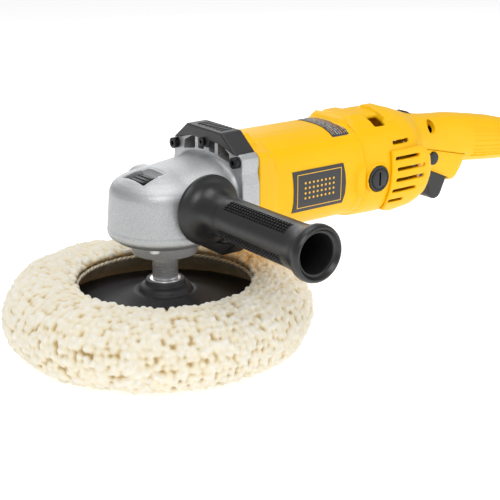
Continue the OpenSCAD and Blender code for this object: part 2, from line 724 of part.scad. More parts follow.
module spindle_lock_pin() color(steel) translate([lock_x, 0, axis_z - 5.6])
    cylinder(r = 2.5, h = 15.5);

module spindle_lock_spring() color(steel) translate([lock_x, 0, axis_z + 1.5]) coil_spring(3.6, 0.35, 7, 4);

// ---- pad ----

hub_r = 12;                              // steel sleeve in the pad's rubber boss

module pad_hub() color(steel) difference() {
    union() {
        translate([0, 0, 26]) cylinder(r = 20, h = 3);
        translate([0, 0, 28.9]) cylinder(r = hub_r, h = 23.8);
    }
    translate([0, 0, 20]) cylinder(r = 7.93, h = 40);
}

module backing_pad() color(black) difference() {
    rotate_extrude() polygon([
        [0, 22.2], [pad_r - 1, 22.2], [pad_r, 23.4], [pad_r, 27], [pad_r - 1.2, 28.2], [70, 30.4],
        [52, 33], [38, 36.6], [28, 40.6], [23.5, 43.4], [22, 44], [20.2, 43.6],
        [19.8, 46], [17.8, 47.9], [15.6, 48.8], [14.9, 51.4], [13.9, 52.2], [0, 52.2]]);
    translate([0, 0, 26]) cylinder(r = 20.02, h = 3.02);
    translate([0, 0, 29]) cylinder(r = hub_r + 0.02, h = 30);
    translate([0, 0, 20]) cylinder(r = 9, h = 20);
}

// Inner face of the bonnet, from the middle of the floor, round the pad's rim and up to the mouth.
skin_in = [[0, 22.1], [pad_r - 1, 22.1], [pad_r + 0.8, 23.6], [pad_r + 1, 27.5], [pad_r - 1, 31],
           [pad_r - 6, 36.5], [mouth_r + 9, 44], [mouth_r + 3, 49.5]];
skin_out = [[mouth_r + 4.2, 50.6], [mouth_r + 10.3, 45.3], [pad_r - 4.7, 37.8], [pad_r + 0.6, 32],
            [pad_r + 2.8, 28], [pad_r + 2.6, 22.8], [pad_r - 0.2, 20.3], [0, 20.3]];

module bonnet_skin() color([0.85, 0.74, 0.52]) rotate_extrude() polygon(concat(skin_in, skin_out));

module wool_bonnet() color([0.96, 0.92, 0.80]) rotate_extrude() polygon(concat(
    [[0, 0], [bonnet_r - 17, 0]],
    [for (a = [-75 : 15 : 90])
        [bonnet_r - 26 + 26 * pow(max(cos(a), 0), 0.75),
         27 + (a > 0 ? (bonnet_h - 29) * pow(sin(a), 0.8) : 26.4 * sin(a))]],
    [[mouth_r + 14, bonnet_h], [mouth_r + 5, bonnet_h - 1.4], [mouth_r + 0.4, bonnet_h - 4.5],
     [mouth_r + 1.4, 50.4]],
    [for (p = skin_out) [max(p[0] + (p[0] > 0 ? 0.1 : 0), 0), p[1] > 40 ? p[1] + 0.1 : p[1] - 0.1]]));

module bonnet_drawcord() color([0.93, 0.9, 0.82]) rotate_extrude()
    translate([mouth_r + 1.2, 48.2]) circle(r = 1.7, $fn = 24);

// ---- controls and cord entry ----

module trigger() color(black) difference() {
    translate([0, trigger_hw, 0]) rotate([90, 0, 0]) linear_extrude(2 * trigger_hw) polygon(concat(
        [[259.5, 101.5], [262, 95], [264.5, 88], [267.4, 80]],
        [for (a = [200 : 13 : 330]) [275.3 + 8 * cos(a), 77.5 + 8 * sin(a)]],
        [[287.5, 84.5], [288.5, 90], [284, 99], [267.5, 101.5], [265, 104.6], [259.5, 104.6]]));
    cross(2.05, -20, 20, trigger_pivot[0], trigger_pivot[1]);
}

module trigger_pin() color(steel) cross(2, -12.4, 12.4, trigger_pivot[0], trigger_pivot[1]);

module lock_on_button() color(black) {
    cross(5.5, -21.6, -14, lock_on_pos[0], lock_on_pos[1]);
}

module speed_dial() color(black) {
    difference() {
        cross(dial_r, -4, 4, dial_pos[0], dial_pos[1]);
        for (i = [0 : 23]) translate([dial_pos[0], 0, dial_pos[1]]) rotate([0, 15 * i, 0])
            block([-0.6, -5, dial_r - 0.7], [0.6, 5, dial_r + 1]);
    }
    cross(2.5, 3.9, 8, dial_pos[0], dial_pos[1]);
}

module speed_module() color([0.15, 0.3, 0.2]) difference() {
    block([230, 5.5, 127], [244, 10.5, 142.8]);
    cross(2.6, 5, 9, dial_pos[0], dial_pos[1]);
}

module switch_body() color([0.25, 0.25, 0.27]) block([272, -9.5, 108], [298, 9.5, 130]);

module cord_clamp() color(black) difference() {
    block([368, -9.8, 98.4], [376, 9.8, 101.4]);
    for (y = [-7, 7]) translate([372, y, 96]) cylinder(r = 1.6, h = 6);
}

module cord_clamp_screws() color(steel) for (y = [-7, 7]) translate([372, y, 0]) {
    translate([0, 0, 101.4]) cylinder(r = 2.8, h = 2);
    translate([0, 0, 94.6]) cylinder(r = 1.5, h = 6.9);
}

module cord_inlet_bush() color(black) difference() {
    union() {
        translate([tool_end_x - 9.4, 0, cord_z]) rotate([0, 90, 0]) cylinder(r = 11, h = 2.3);
        translate([tool_end_x - 7.2, 0, cord_z]) rotate([0, 90, 0]) cylinder(r = 9, h = 7.2);
    }
    translate([tool_end_x - 20, 0, cord_z]) rotate([0, 90, 0]) cylinder(r = 5, h = 40);
}

// ---- what is drawn ----

gear_case();
spindle_cover();
spindle_cover_screws();
upper_guard();
lower_guard();
guard_screws();
gear_case_screws();
motor_housing();
rear_housing();
trigger_housing();
trigger_housing_screws();
handle_screws();
right_vent_shield();
left_vent_shield();
right_brush_cap();
left_brush_cap();
right_brush_holder();
left_brush_holder();
right_carbon_brush();
left_carbon_brush();
brush_springs();
side_badges();
top_label();
side_handle_grip();
side_handle_stud();
lower_spindle_bearing();
upper_spindle_bearing();
spindle_lock_spring();
front_armature_bearing();
rear_armature_bearing();
rear_bearing_boot();
field_core();
upper_field_coil();
lower_field_coil();
fan_baffle();
switch_body();
speed_module();
cord_clamp();
cord_clamp_screws();
cord_inlet_bush();
spindle();
ring_gear();
ring_gear_clip();
backing_pad();
pad_hub();
wool_bonnet();
bonnet_skin();
bonnet_drawcord();
armature_shaft();
armature_core();
armature_windings();
commutator();
cooling_fan();
pinion_gear();
trigger();
trigger_pin();
lock_on_button();
spindle_lock_button();
spindle_lock_pin();
speed_dial();
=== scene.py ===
import json
import math

import bmesh
import bpy
import numpy as np
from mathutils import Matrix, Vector


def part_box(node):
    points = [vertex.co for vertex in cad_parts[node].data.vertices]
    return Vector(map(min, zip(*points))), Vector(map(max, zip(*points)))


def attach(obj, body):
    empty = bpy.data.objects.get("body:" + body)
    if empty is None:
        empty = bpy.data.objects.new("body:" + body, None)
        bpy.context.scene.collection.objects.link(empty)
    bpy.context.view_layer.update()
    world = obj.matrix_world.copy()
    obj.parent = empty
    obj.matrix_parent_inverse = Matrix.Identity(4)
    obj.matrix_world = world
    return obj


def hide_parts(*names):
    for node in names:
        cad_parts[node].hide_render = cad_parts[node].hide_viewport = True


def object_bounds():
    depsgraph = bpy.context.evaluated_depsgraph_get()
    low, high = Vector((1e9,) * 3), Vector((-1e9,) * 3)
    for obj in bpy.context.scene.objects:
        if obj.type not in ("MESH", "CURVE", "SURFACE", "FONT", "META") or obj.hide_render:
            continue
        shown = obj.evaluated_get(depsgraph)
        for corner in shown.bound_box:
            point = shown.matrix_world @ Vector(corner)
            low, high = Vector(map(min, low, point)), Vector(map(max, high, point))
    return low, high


# A rotary polisher: cast gear head, yellow motor and handle housings, side handle, and a lambswool
# bonnet tied over a rubber pad. Metres throughout; the spindle is the Z axis and the motor runs along X.

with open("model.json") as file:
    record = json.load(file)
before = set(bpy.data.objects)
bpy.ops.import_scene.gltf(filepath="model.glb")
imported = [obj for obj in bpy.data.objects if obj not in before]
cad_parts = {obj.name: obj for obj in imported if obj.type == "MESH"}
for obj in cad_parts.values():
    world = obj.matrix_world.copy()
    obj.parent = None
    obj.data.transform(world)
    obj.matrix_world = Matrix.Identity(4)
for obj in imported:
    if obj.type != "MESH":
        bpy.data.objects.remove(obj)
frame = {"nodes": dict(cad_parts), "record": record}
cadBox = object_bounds()
nodes = frame["nodes"]
scene = bpy.context.scene
axisZ = (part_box("field_core")[0].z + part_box("field_core")[1].z) / 2
mm = 0.001
axisMm = axisZ / mm                       # height of the motor axis
gripFoot = -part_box("side_handle_grip")[1].y / mm
gripX = (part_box("side_handle_grip")[0].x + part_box("side_handle_grip")[1].x) / 2 / mm


camera = {"lens": 84.96, "place": (-0.4497, -0.7157, 0.3580), "azimuth": -36.5, "elevation": 18.6}
lights = {
    "key": {"place": (-0.9, -1.1, 1.5), "aim": (0.08, 0, 0.08), "size": 0.9, "power": 14},
    "fill": {"place": (1.3, -1.5, 0.8), "aim": (0.12, 0, 0.1), "size": 1.4, "power": 7},
    "top": {"place": (0.15, 0.25, 1.7), "aim": (0.12, 0, 0.08), "size": 1.1, "power": 10},
    "back": {"place": (0.6, 1.5, 0.7), "aim": (0.1, 0, 0.1), "size": 1.0, "power": 5},
}


def makeCamera():
    lens = bpy.data.cameras.new("camera")
    lens.lens = camera["lens"]
    lens.clip_start = 0.01
    eye = bpy.data.objects.new("camera", lens)
    scene.collection.objects.link(eye)
    turn = math.radians(camera["azimuth"])
    lift = math.radians(camera["elevation"])
    back = Vector((math.sin(turn) * math.cos(lift), -math.cos(turn) * math.cos(lift), math.sin(lift)))
    eye.location = camera["place"]
    eye.rotation_mode = "QUATERNION"
    eye.rotation_quaternion = (-back).to_track_quat("-Z", "Y")
    scene.camera = eye


def makeLights():
    for name, spec in lights.items():
        lamp = bpy.data.lights.new(name, "AREA")
        lamp.size = spec["size"]
        lamp.energy = spec["power"]
        holder = bpy.data.objects.new(name, lamp)
        scene.collection.objects.link(holder)
        holder.location = spec["place"]
        aim = Vector(spec["aim"]) - holder.location
        holder.rotation_mode = "QUATERNION"
        holder.rotation_quaternion = aim.to_track_quat("-Z", "Y")
    world = bpy.data.worlds.new("studio")
    world.use_nodes = True
    world.node_tree.nodes["Background"].inputs["Color"].default_value = (1, 1, 1, 1)
    world.node_tree.nodes["Background"].inputs["Strength"].default_value = 0.42
    scene.world = world
    scene.view_settings.view_transform = "Standard"


class Wire:
    # a socket that can be added, multiplied and so on like a number
    def __init__(self, tree, socket):
        self.tree = tree
        self.socket = socket

    def maths(self, operation, a, b=None):
        node = self.tree.nodes.new("ShaderNodeMath")
        node.operation = operation
        for slot, value in zip(node.inputs, (a, b)):
            if isinstance(value, Wire):
                self.tree.links.new(value.socket, slot)
            elif value is not None:
                slot.default_value = value
        return Wire(self.tree, node.outputs[0])

    def __add__(self, other):
        return self.maths("ADD", self, other)

    def __radd__(self, other):
        return self.maths("ADD", other, self)

    def __sub__(self, other):
        return self.maths("SUBTRACT", self, other)

    def __rsub__(self, other):
        return self.maths("SUBTRACT", other, self)

    def __mul__(self, other):
        return self.maths("MULTIPLY", self, other)

    def __rmul__(self, other):
        return self.maths("MULTIPLY", other, self)

    def __truediv__(self, other):
        return self.maths("DIVIDE", self, other)

    def __pow__(self, other):
        return self.maths("POWER", self, other)

    def above(self, other):
        return self.maths("GREATER_THAN", self, other)

    def below(self, other):
        return self.maths("LESS_THAN", self, other)


class Finish:
    # one material: values go on the shader's own sockets, and wires into what varies
    def __init__(self, name, color, **values):
        self.material = bpy.data.materials.new(name)
        self.material.use_nodes = True
        self.tree = self.material.node_tree
        self.shader = self.tree.nodes["Principled BSDF"]
        self.shader.inputs["Base Color"].default_value = (*color, 1)
        self.color = color
        for key, value in values.items():
            self.shader.inputs[key.replace("_", " ").title().replace("Ior", "IOR")].default_value = value
        self.place = self.node("ShaderNodeTexCoord", {}, {}, "Object")
        self.material.diffuse_color = (*color, 1)

    def node(self, kind, settings, links, output=0):
        made = self.tree.nodes.new(kind)
        for key, value in settings.items():
            if key == "stops":
                ramp = made.color_ramp
                while len(ramp.elements) < len(value):
                    ramp.elements.new(0.5)
                for element, (position, tone) in zip(ramp.elements, value):
                    element.position = position
                    element.color = (*tone, 1)
            else:
                setattr(made, key, value)
        for key, value in links.items():
            slot = made.inputs[key]
            if isinstance(value, Wire):
                self.tree.links.new(value.socket, slot)
            else:
                slot.default_value = value
        return Wire(self.tree, made.outputs[output])

    def axes(self, place=None):
        split = self.tree.nodes.new("ShaderNodeSeparateXYZ")
        self.tree.links.new((place or self.place).socket, split.inputs[0])
        return [Wire(self.tree, out) for out in split.outputs]

    def scaled(self, x, y, z, place=None):
        return self.node("ShaderNodeMapping", {}, {"Vector": place or self.place, "Scale": (x, y, z)})

    def noise(self, scale, detail=3, rough=0.55, place=None, distort=0):
        links = {"Vector": place or self.place, "Scale": scale, "Detail": detail, "Roughness": rough}
        return self.node("ShaderNodeTexNoise", {}, {**links, "Distortion": distort}, "Fac")

    def cells(self, scale, feature="F1", place=None):
        return self.node("ShaderNodeTexVoronoi", {"feature": feature},
                         {"Vector": place or self.place, "Scale": scale}, "Distance")

    def ramp(self, factor, stops):
        return self.node("ShaderNodeValToRGB", {"stops": stops}, {"Fac": factor}, "Color")

    def mix(self, factor, first, second):
        node = self.tree.nodes.new("ShaderNodeMix")
        node.data_type = "RGBA"
        for slot, value in ((node.inputs[0], factor), (node.inputs[6], first), (node.inputs[7], second)):
            if isinstance(value, Wire):
                self.tree.links.new(value.socket, slot)
            elif isinstance(value, (int, float)):
                slot.default_value = value
            else:
                slot.default_value = (*value, 1)
        return Wire(self.tree, node.outputs[2])

    def tint(self, amount, scale):
        # the base colour, a little lighter and darker in soft patches
        low = [c * (1 - amount) for c in self.color]
        high = [min(c * (1 + amount), 1) for c in self.color]
        return self.mix(self.noise(scale, 4), low, high)

    def bump(self, height, strength, distance=0.0003, normal=None):
        links = {"Height": height, "Strength": strength, "Distance": distance}
        if normal:
            links["Normal"] = normal
        return self.node("ShaderNodeBump", {}, links, "Normal")

    def put(self, **wires):
        for key, wire in wires.items():
            self.tree.links.new(wire.socket, self.shader.inputs[key.replace("_", " ").title()])
        return self.material


def castAluminium():
    finish = Finish("castAluminium", (0.56, 0.57, 0.58), metallic=0.82, roughness=0.46)
    grain = finish.noise(1500, 4, 0.7)
    pits = finish.cells(900)
    tone = finish.ramp(grain, [(0.3, (0.33, 0.34, 0.35)), (0.5, (0.48, 0.49, 0.50)),
                               (0.72, (0.66, 0.67, 0.68))])
    patch = finish.mix(finish.noise(45, 3) * 0.35, tone, (0.56, 0.57, 0.58))
    rough = 0.36 + finish.noise(700, 4, 0.7) * 0.26
    bump = finish.bump(grain + pits * 0.5, 0.32, 0.00025)
    return finish.put(base_color=patch, roughness=rough, normal=bump)


def yellowPlastic():
    finish = Finish("yellowPlastic", (0.95, 0.53, 0.0), roughness=0.36, specular_ior_level=0.25)
    fine = finish.noise(2600, 2, 0.5)
    wave = finish.noise(60, 2)
    scuffs = finish.noise(900, 5, 0.8, finish.scaled(0.25, 1, 1))
    rough = 0.30 + wave * 0.08 + scuffs * 0.08
    return finish.put(base_color=finish.tint(0.05, 28), roughness=rough,
                      normal=finish.bump(fine + wave * 2, 0.10, 0.0002))


def blackPlastic(name="blackPlastic", color=(0.014, 0.014, 0.015), roughness=0.38, grain=0.2):
    finish = Finish(name, color, roughness=roughness)
    fine = finish.noise(3000, 2, 0.6)
    leather = finish.cells(1400, "SMOOTH_F1")
    rough = roughness - 0.08 + finish.noise(120, 4) * 0.18
    return finish.put(base_color=finish.tint(0.22, 70), roughness=rough,
                      normal=finish.bump(fine + leather, grain, 0.0002))


def padRubber():
    finish = Finish("padRubber", (0.030, 0.030, 0.033), roughness=0.55)
    x, y, _ = finish.axes()
    radius = (x * x + y * y) ** 0.5
    rings = finish.node("ShaderNodeTexNoise", {"noise_dimensions": "1D"}, {"W": radius * 900, "Detail": 2},
                        "Fac")
    dust = finish.noise(140, 5, 0.75)
    tone = finish.ramp(dust, [(0.35, (0.020, 0.020, 0.022)), (0.62, (0.036, 0.036, 0.040)),
                              (0.8, (0.075, 0.073, 0.072))])
    rough = 0.42 + dust * 0.25
    return finish.put(base_color=tone, roughness=rough,
                      normal=finish.bump(rings * 0.6 + finish.noise(1200, 3), 0.2, 0.0003))


def turnedSteel(name, color, axis, roughness=0.2, lines=0.25, metallic=1.0):
    # fine rings from the lathe, round the axis named
    finish = Finish(name, color, metallic=metallic, roughness=roughness)
    stretch = {"x": (4000, 60, 60), "y": (60, 4000, 60), "z": (60, 60, 4000)}[axis]
    rings = finish.noise(1, 3, 0.6, finish.scaled(*stretch))
    stains = finish.noise(90, 4)
    rough = roughness - 0.06 + rings * 0.12 + stains * 0.1
    return finish.put(base_color=finish.tint(0.08, 110), roughness=rough,
                      normal=finish.bump(rings, lines, 0.00008))


def laminations():
    finish = Finish("laminations", (0.30, 0.31, 0.33), metallic=0.85, roughness=0.42)
    sheets = finish.node("ShaderNodeTexWave", {"bands_direction": "X"},
                         {"Vector": finish.place, "Scale": 310.0}, "Fac")
    tone = finish.mix(sheets, (0.16, 0.165, 0.18), (0.42, 0.43, 0.45))
    return finish.put(base_color=tone, normal=finish.bump(sheets, 0.5, 0.0002))


def woundCopper():
    finish = Finish("woundCopper", (0.62, 0.22, 0.08), metallic=0.9, roughness=0.28)
    turns = finish.node("ShaderNodeTexWave", {"bands_direction": "DIAGONAL"},
                        {"Vector": finish.place, "Scale": 420.0, "Distortion": 1.5, "Detail Scale": 3.0},
                        "Fac")
    tone = finish.mix(turns, (0.20, 0.05, 0.015), (0.75, 0.30, 0.11))
    return finish.put(base_color=tone, normal=finish.bump(turns, 0.8, 0.0003))


def plainMetal(name, color, roughness, scale=300):
    finish = Finish(name, color, metallic=1.0, roughness=roughness)
    rough = roughness - 0.08 + finish.noise(scale, 5, 0.7) * 0.2
    return finish.put(base_color=finish.tint(0.12, scale * 0.4), roughness=rough,
                      normal=finish.bump(finish.noise(scale * 8, 2), 0.15, 0.0001))


def carbonBlock():
    finish = Finish("carbonBlock", (0.035, 0.035, 0.037), metallic=0.3, roughness=0.5)
    return finish.put(base_color=finish.tint(0.3, 700), normal=finish.bump(finish.noise(2500, 3), 0.4,
                                                                           0.0002))


def printedBadge():
    # a plain dark plate: a thin inset border round a grid of small dots, no lettering
    finish = Finish("printedBadge", (0.012, 0.012, 0.013), roughness=0.28, coat_weight=0.3)
    x, _, z = finish.axes()
    low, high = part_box("side_badges")
    middle = (low + high) / 2
    fromX = (x - middle.x).maths("ABSOLUTE", x - middle.x)
    fromZ = (z - middle.z).maths("ABSOLUTE", z - middle.z)
    border = (fromX.below(22 * mm) * fromZ.below(13.4 * mm)
              - fromX.below(21.4 * mm) * fromZ.below(12.8 * mm))
    across, rise = (x - middle.x) * 250, (z - middle.z) * 250
    offX, offZ = across.maths("FRACT", across) - 0.5, rise.maths("FRACT", rise) - 0.5
    dots = (offX * offX + offZ * offZ).below(0.05) * fromX.below(16 * mm) * fromZ.below(8 * mm)
    tone = finish.mix(border + dots, (0.012, 0.012, 0.013), (0.90, 0.48, 0.01))
    return finish.put(base_color=tone, roughness=0.24 + finish.noise(200, 4) * 0.12)


def printedLabel():
    # a rating plate without words: dark, with rows of thin pale and orange dashes
    finish = Finish("printedLabel", (0.03, 0.03, 0.035), roughness=0.32, coat_weight=0.4)
    x, y, z = finish.axes()
    low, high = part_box("top_label")
    across = (x - low.x) * 420
    row = across.maths("FRACT", across)
    dashes = finish.noise(1, 2, 0.8, finish.scaled(420, 900, 0)).above(0.47)
    inside = (x.above(low.x + 1.2 * mm) * x.below(high.x - 1.2 * mm)
              * y.above(low.y + 1.2 * mm) * y.below(high.y - 1.2 * mm))
    ink = row.above(0.28) * row.below(0.72) * dashes * inside
    warm = finish.noise(1, 0, 0.5, finish.scaled(230, 0, 0)).above(0.52)
    color = finish.mix(warm, (0.55, 0.54, 0.50), (0.60, 0.22, 0.03))
    tone = finish.mix(ink, (0.030, 0.032, 0.045), color)
    return finish.put(base_color=tone, roughness=0.28 + finish.noise(300, 3) * 0.1)


def hide():
    # the suede side of the skin
    finish = Finish("hide", (0.52, 0.36, 0.17), roughness=0.85, sheen_weight=0.5, sheen_roughness=0.5)
    fibre = finish.noise(520, 6, 0.75, None, 1.2)
    blotch = finish.noise(38, 4, 0.6)
    tone = finish.ramp(blotch * 0.6 + fibre * 0.4,
                       [(0.3, (0.46, 0.29, 0.12)), (0.5, (0.62, 0.43, 0.20)), (0.72, (0.76, 0.58, 0.32))])
    return finish.put(base_color=tone, normal=finish.bump(fibre, 0.6, 0.0006))


def cotton():
    finish = Finish("cotton", (0.72, 0.62, 0.42), roughness=0.9, sheen_weight=0.3)
    x, y, z = finish.axes()
    angle = y.maths("ARCTAN2", y, x)
    twist = (angle * 95 + z * 2600).maths("SINE", angle * 95 + z * 2600)
    tone = finish.mix(twist * 0.5 + 0.5, (0.50, 0.41, 0.25), (0.80, 0.72, 0.54))
    return finish.put(base_color=tone, normal=finish.bump(twist, 0.7, 0.0005))


def fleece():
    # wool: the attribute says how deep in the pile a point lies; the ramp paints deep points dark tan as
    # painted shade between the locks, and the tips pale cream
    finish = Finish("fleece", (0.80, 0.70, 0.50), roughness=0.82, sheen_weight=0.55, sheen_roughness=0.45)
    depth = finish.node("ShaderNodeAttribute", {"attribute_name": "pile"}, {}, "Fac")
    strands = finish.noise(900, 5, 0.75, None, 2.5)
    patch = finish.noise(28, 3)
    # painted shade: low pile depth picks the dark tan stops, while the strand and patch noise add random tone
    # on top
    height = depth + (strands - 0.5) * 0.35 + (patch - 0.5) * 0.25
    tone = finish.ramp(height, [(0.0, (0.50, 0.33, 0.13)), (0.2, (0.80, 0.64, 0.36)),
                                (0.42, (0.96, 0.87, 0.66)), (0.9, (0.99, 0.96, 0.86))])
    return finish.put(base_color=tone, normal=finish.bump(strands, 0.9, 0.0007))


def makeFinishes():
    made = {
        "cast_alloy": castAluminium(),
        "yellow_housing": yellowPlastic(),
        "guard_plastic": blackPlastic("guardPlastic", (0.020, 0.020, 0.022), 0.42, 0.25),
        "black_plastic": blackPlastic(),
        "handle_rubber": blackPlastic("gripPlastic", (0.013, 0.013, 0.014), 0.34, 0.15),
        "black_rubber": blackPlastic("blackRubber", (0.016, 0.016, 0.016), 0.6, 0.4),
        "black_fastener": plainMetal("blackOxide", (0.035, 0.035, 0.038), 0.34),
        "plated_fastener": plainMetal("zincPlate", (0.55, 0.55, 0.54), 0.3),
        "bearing_steel": turnedSteel("bearingSteel", (0.62, 0.62, 0.64), "z", 0.18),
        "spring_steel": plainMetal("springSteel", (0.42, 0.42, 0.44), 0.3),
        "machined_steel": turnedSteel("machinedSteel", (0.84, 0.84, 0.86), "z", 0.2, 0.12, 0.65),
        "lamination_steel": laminations(),
        "copper": woundCopper(),
        "brush_brass": plainMetal("brushBrass", (0.72, 0.52, 0.20), 0.28),
        "carbon": carbonBlock(),
        "pad_rubber": padRubber(),
        "wool": fleece(),
        "sheepskin": hide(),
        "drawcord": cotton(),
    }
    made["badge"] = printedBadge()
    made["label"] = printedLabel()
    made["printed_label"] = made["badge"]
    made["turned_x"] = turnedSteel("turnedAlongX", (0.60, 0.60, 0.62), "x", 0.2)
    return made


def paintFrame(finishes):
    alongX = {"armature_shaft", "pinion_gear", "front_armature_bearing", "rear_armature_bearing"}
    for row in frame["record"]["subparts"]:
        name = row["node"]
        material = finishes["turned_x"] if name in alongX else finishes[row["material_slot"]]
        if name == "top_label":
            material = finishes["label"]
        mesh = nodes[name].data
        mesh.materials.clear()
        mesh.materials.append(material)


# Modelling tools. Sizes here are in millimetres, and the meshes are in metres.

def alone(piece):
    bpy.ops.object.select_all(action="DESELECT")
    piece.select_set(True)
    bpy.context.view_layer.objects.active = piece
    return piece


def settled(piece):
    # the piece's place and turn go into its mesh
    alone(piece)
    bpy.ops.object.transform_apply(location=True, rotation=True, scale=True)
    return piece


def modify(piece, kind, **settings):
    alone(piece)
    made = piece.modifiers.new(kind.lower(), kind)
    for key, value in settings.items():
        setattr(made, key, value)
    bpy.ops.object.modifier_apply(modifier=made.name)
    return piece


def join(first, others, way="UNION"):
    # adds to, or cuts from, the first piece
    for other in others:
        modify(first, "BOOLEAN", operation=way, solver="MANIFOLD", object=other)
        bpy.data.objects.remove(other)
    return first


def cut(first, others):
    return join(first, others, "DIFFERENCE")


def bar(axis, radius, start, end, across, sides=64, tip=None):
    # a round bar along one axis, at its place across the other two; a tip radius makes it a cone
    turn = {"x": (0, math.pi / 2, 0), "y": (-math.pi / 2, 0, 0), "z": (0, 0, 0)}[axis]
    middle = list(across)
    middle.insert("xyz".index(axis), (start + end) / 2)
    bpy.ops.object.select_all(action="DESELECT")
    bpy.ops.mesh.primitive_cone_add(vertices=sides, radius1=radius * mm, depth=(end - start) * mm,
                                    radius2=(radius if tip is None else tip) * mm,
                                    location=[v * mm for v in middle], rotation=turn)
    return settled(bpy.context.object)


def block(low, high, edge=0, rounds=3):
    bpy.ops.object.select_all(action="DESELECT")
    bpy.ops.mesh.primitive_cube_add(size=1, location=[(a + b) / 2 * mm for a, b in zip(low, high)],
                                    scale=[(b - a) * mm for a, b in zip(low, high)])
    piece = settled(bpy.context.object)
    if edge:
        modify(piece, "BEVEL", width=edge * mm, segments=rounds, limit_method="ANGLE")
    return piece


def openEdit(piece):
    alone(piece)
    bpy.ops.object.mode_set(mode="EDIT")
    bpy.ops.mesh.select_mode(type="FACE")
    return bmesh.from_edit_mesh(piece.data)


def closeEdit():
    bpy.ops.mesh.select_all(action="SELECT")
    bpy.ops.mesh.normals_make_consistent(inside=False)
    bpy.ops.object.mode_set(mode="OBJECT")


def pickFaces(mesh, test):
    # the faces whose centre (mm) and normal pass the test
    for face in mesh.faces:
        face.select_set(bool(test(face.calc_center_median() / mm, face.normal)))
    bmesh.update_edit_mesh(bpy.context.object.data)


def meshPiece(name, points, faces):
    # a new piece from its points, in metres, and the faces between them
    mesh = bpy.data.meshes.new(name)
    mesh.from_pydata(points, [], faces)
    piece = bpy.data.objects.new(name, mesh)
    scene.collection.objects.link(piece)
    return piece


def outlined(name, axis, outline, start):
    # one flat face across the axis
    place = {"x": lambda p: (start, *p), "y": lambda p: (p[0], start, p[1]), "z": lambda p: (*p, start)}[axis]
    return meshPiece(name, [[v * mm for v in place(p)] for p in outline], [range(len(outline))])


def slab(axis, outline, start, end, edge=0, rounds=3):
    # an outline across the axis, extruded along it
    piece = outlined("slab", axis, outline, start)
    openEdit(piece)
    bpy.ops.mesh.select_all(action="SELECT")
    step = Vector([(end - start) * mm if letter == axis else 0 for letter in "xyz"])
    bpy.ops.mesh.extrude_region_move(TRANSFORM_OT_translate={"value": step})
    closeEdit()
    if edge:
        modify(piece, "BEVEL", width=edge * mm, segments=rounds, limit_method="ANGLE", angle_limit=0.6)
    return piece


def turned(profile, axis="z", across=(0, 0), sides=96):
    # a lathe shape: a disc is extruded and resized to each radius and height of the profile
    radius, height = profile[0]
    bpy.ops.object.select_all(action="DESELECT")
    bpy.ops.mesh.primitive_circle_add(vertices=sides, radius=radius * mm, fill_type="NGON",
                                      location=(0, 0, height * mm))
    piece = settled(bpy.context.object)
    bpy.ops.object.mode_set(mode="EDIT")
    bpy.ops.mesh.select_all(action="SELECT")
    for nextRadius, nextHeight in profile[1:]:
        rise = (0, 0, (nextHeight - height) * mm)
        bpy.ops.mesh.extrude_region_move(TRANSFORM_OT_translate={"value": rise})
        grow = nextRadius / radius
        bpy.ops.transform.resize(value=(grow, grow, 1), center_override=(0, 0, nextHeight * mm))
        radius, height = nextRadius, nextHeight
    closeEdit()
    piece.rotation_euler = {"x": (0, math.pi / 2, 0), "y": (-math.pi / 2, 0, 0), "z": (0, 0, 0)}[axis]
    place = list(across)
    place.insert("xyz".index(axis), 0)
    piece.location = [v * mm for v in place]
    return settled(piece)


def roundOutline(halfWidth, up, down, power, middle=0, count=48):
    # a squarish oval about (0, middle)
    points = []
    for i in range(count):
        c, s = math.cos(2 * math.pi * i / count), math.sin(2 * math.pi * i / count)
        points.append((math.copysign(abs(c) ** (2 / power), c) * halfWidth,
                       middle + math.copysign(abs(s) ** (2 / power), s) * (up if s > 0 else down)))
    return points


def lofted(sections):
    # a solid through outlines of equal count: (x, outline) from front to back, bridged one by one
    count = len(sections[0][1])
    points = [(x * mm, y * mm, z * mm) for x, outline in sections for y, z in outline]
    rings = [range(k * count, (k + 1) * count) for k in range(len(sections))]
    sides = [(a[i], a[(i + 1) % count], b[(i + 1) % count], b[i])
             for a, b in zip(rings, rings[1:]) for i in range(count)]
    piece = meshPiece("loft", points, [tuple(rings[0]), tuple(rings[-1])] + sides)
    openEdit(piece)
    closeEdit()
    return piece


def copied(node):
    # a CAD node's shape as a piece of its own, welded
    piece = bpy.data.objects.new(node, nodes[node].data.copy())
    scene.collection.objects.link(piece)
    openEdit(piece)
    bpy.ops.mesh.select_all(action="SELECT")
    bpy.ops.mesh.remove_doubles(threshold=2e-6)
    bpy.ops.mesh.select_all(action="SELECT")
    bpy.ops.object.mode_set(mode="OBJECT")
    return piece


def softened(piece, cell, passes):
    # every edge takes a small radius, as a casting or a moulding has
    modify(piece, "REMESH", mode="VOXEL", voxel_size=cell * mm)
    return modify(piece, "SMOOTH", factor=0.5, iterations=passes)


def blended(piece, passes, test):
    # only the points whose place (mm) passes the test are relaxed, which makes a wide fillet
    mesh = openEdit(piece)
    bpy.ops.mesh.select_mode(type="VERT")
    for point in mesh.verts:
        point.select_set(bool(test(point.co / mm)))
    bmesh.update_edit_mesh(piece.data)
    bpy.ops.mesh.vertices_smooth(factor=0.5, repeat=passes)
    bpy.ops.object.mode_set(mode="OBJECT")
    return piece


def handOver(piece, name, slot, body="housing", replaced=(), finish=None, angle=35):
    piece.name = name
    piece.data.name = name
    settled(piece)
    bpy.ops.object.shade_smooth_by_angle(angle=math.radians(angle))
    piece.data.materials.clear()
    piece.data.materials.append(finish or finishes[slot])
    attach(piece, body)
    if replaced:
        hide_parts(*replaced)
    print("made", name, len(piece.data.polygons))
    return piece


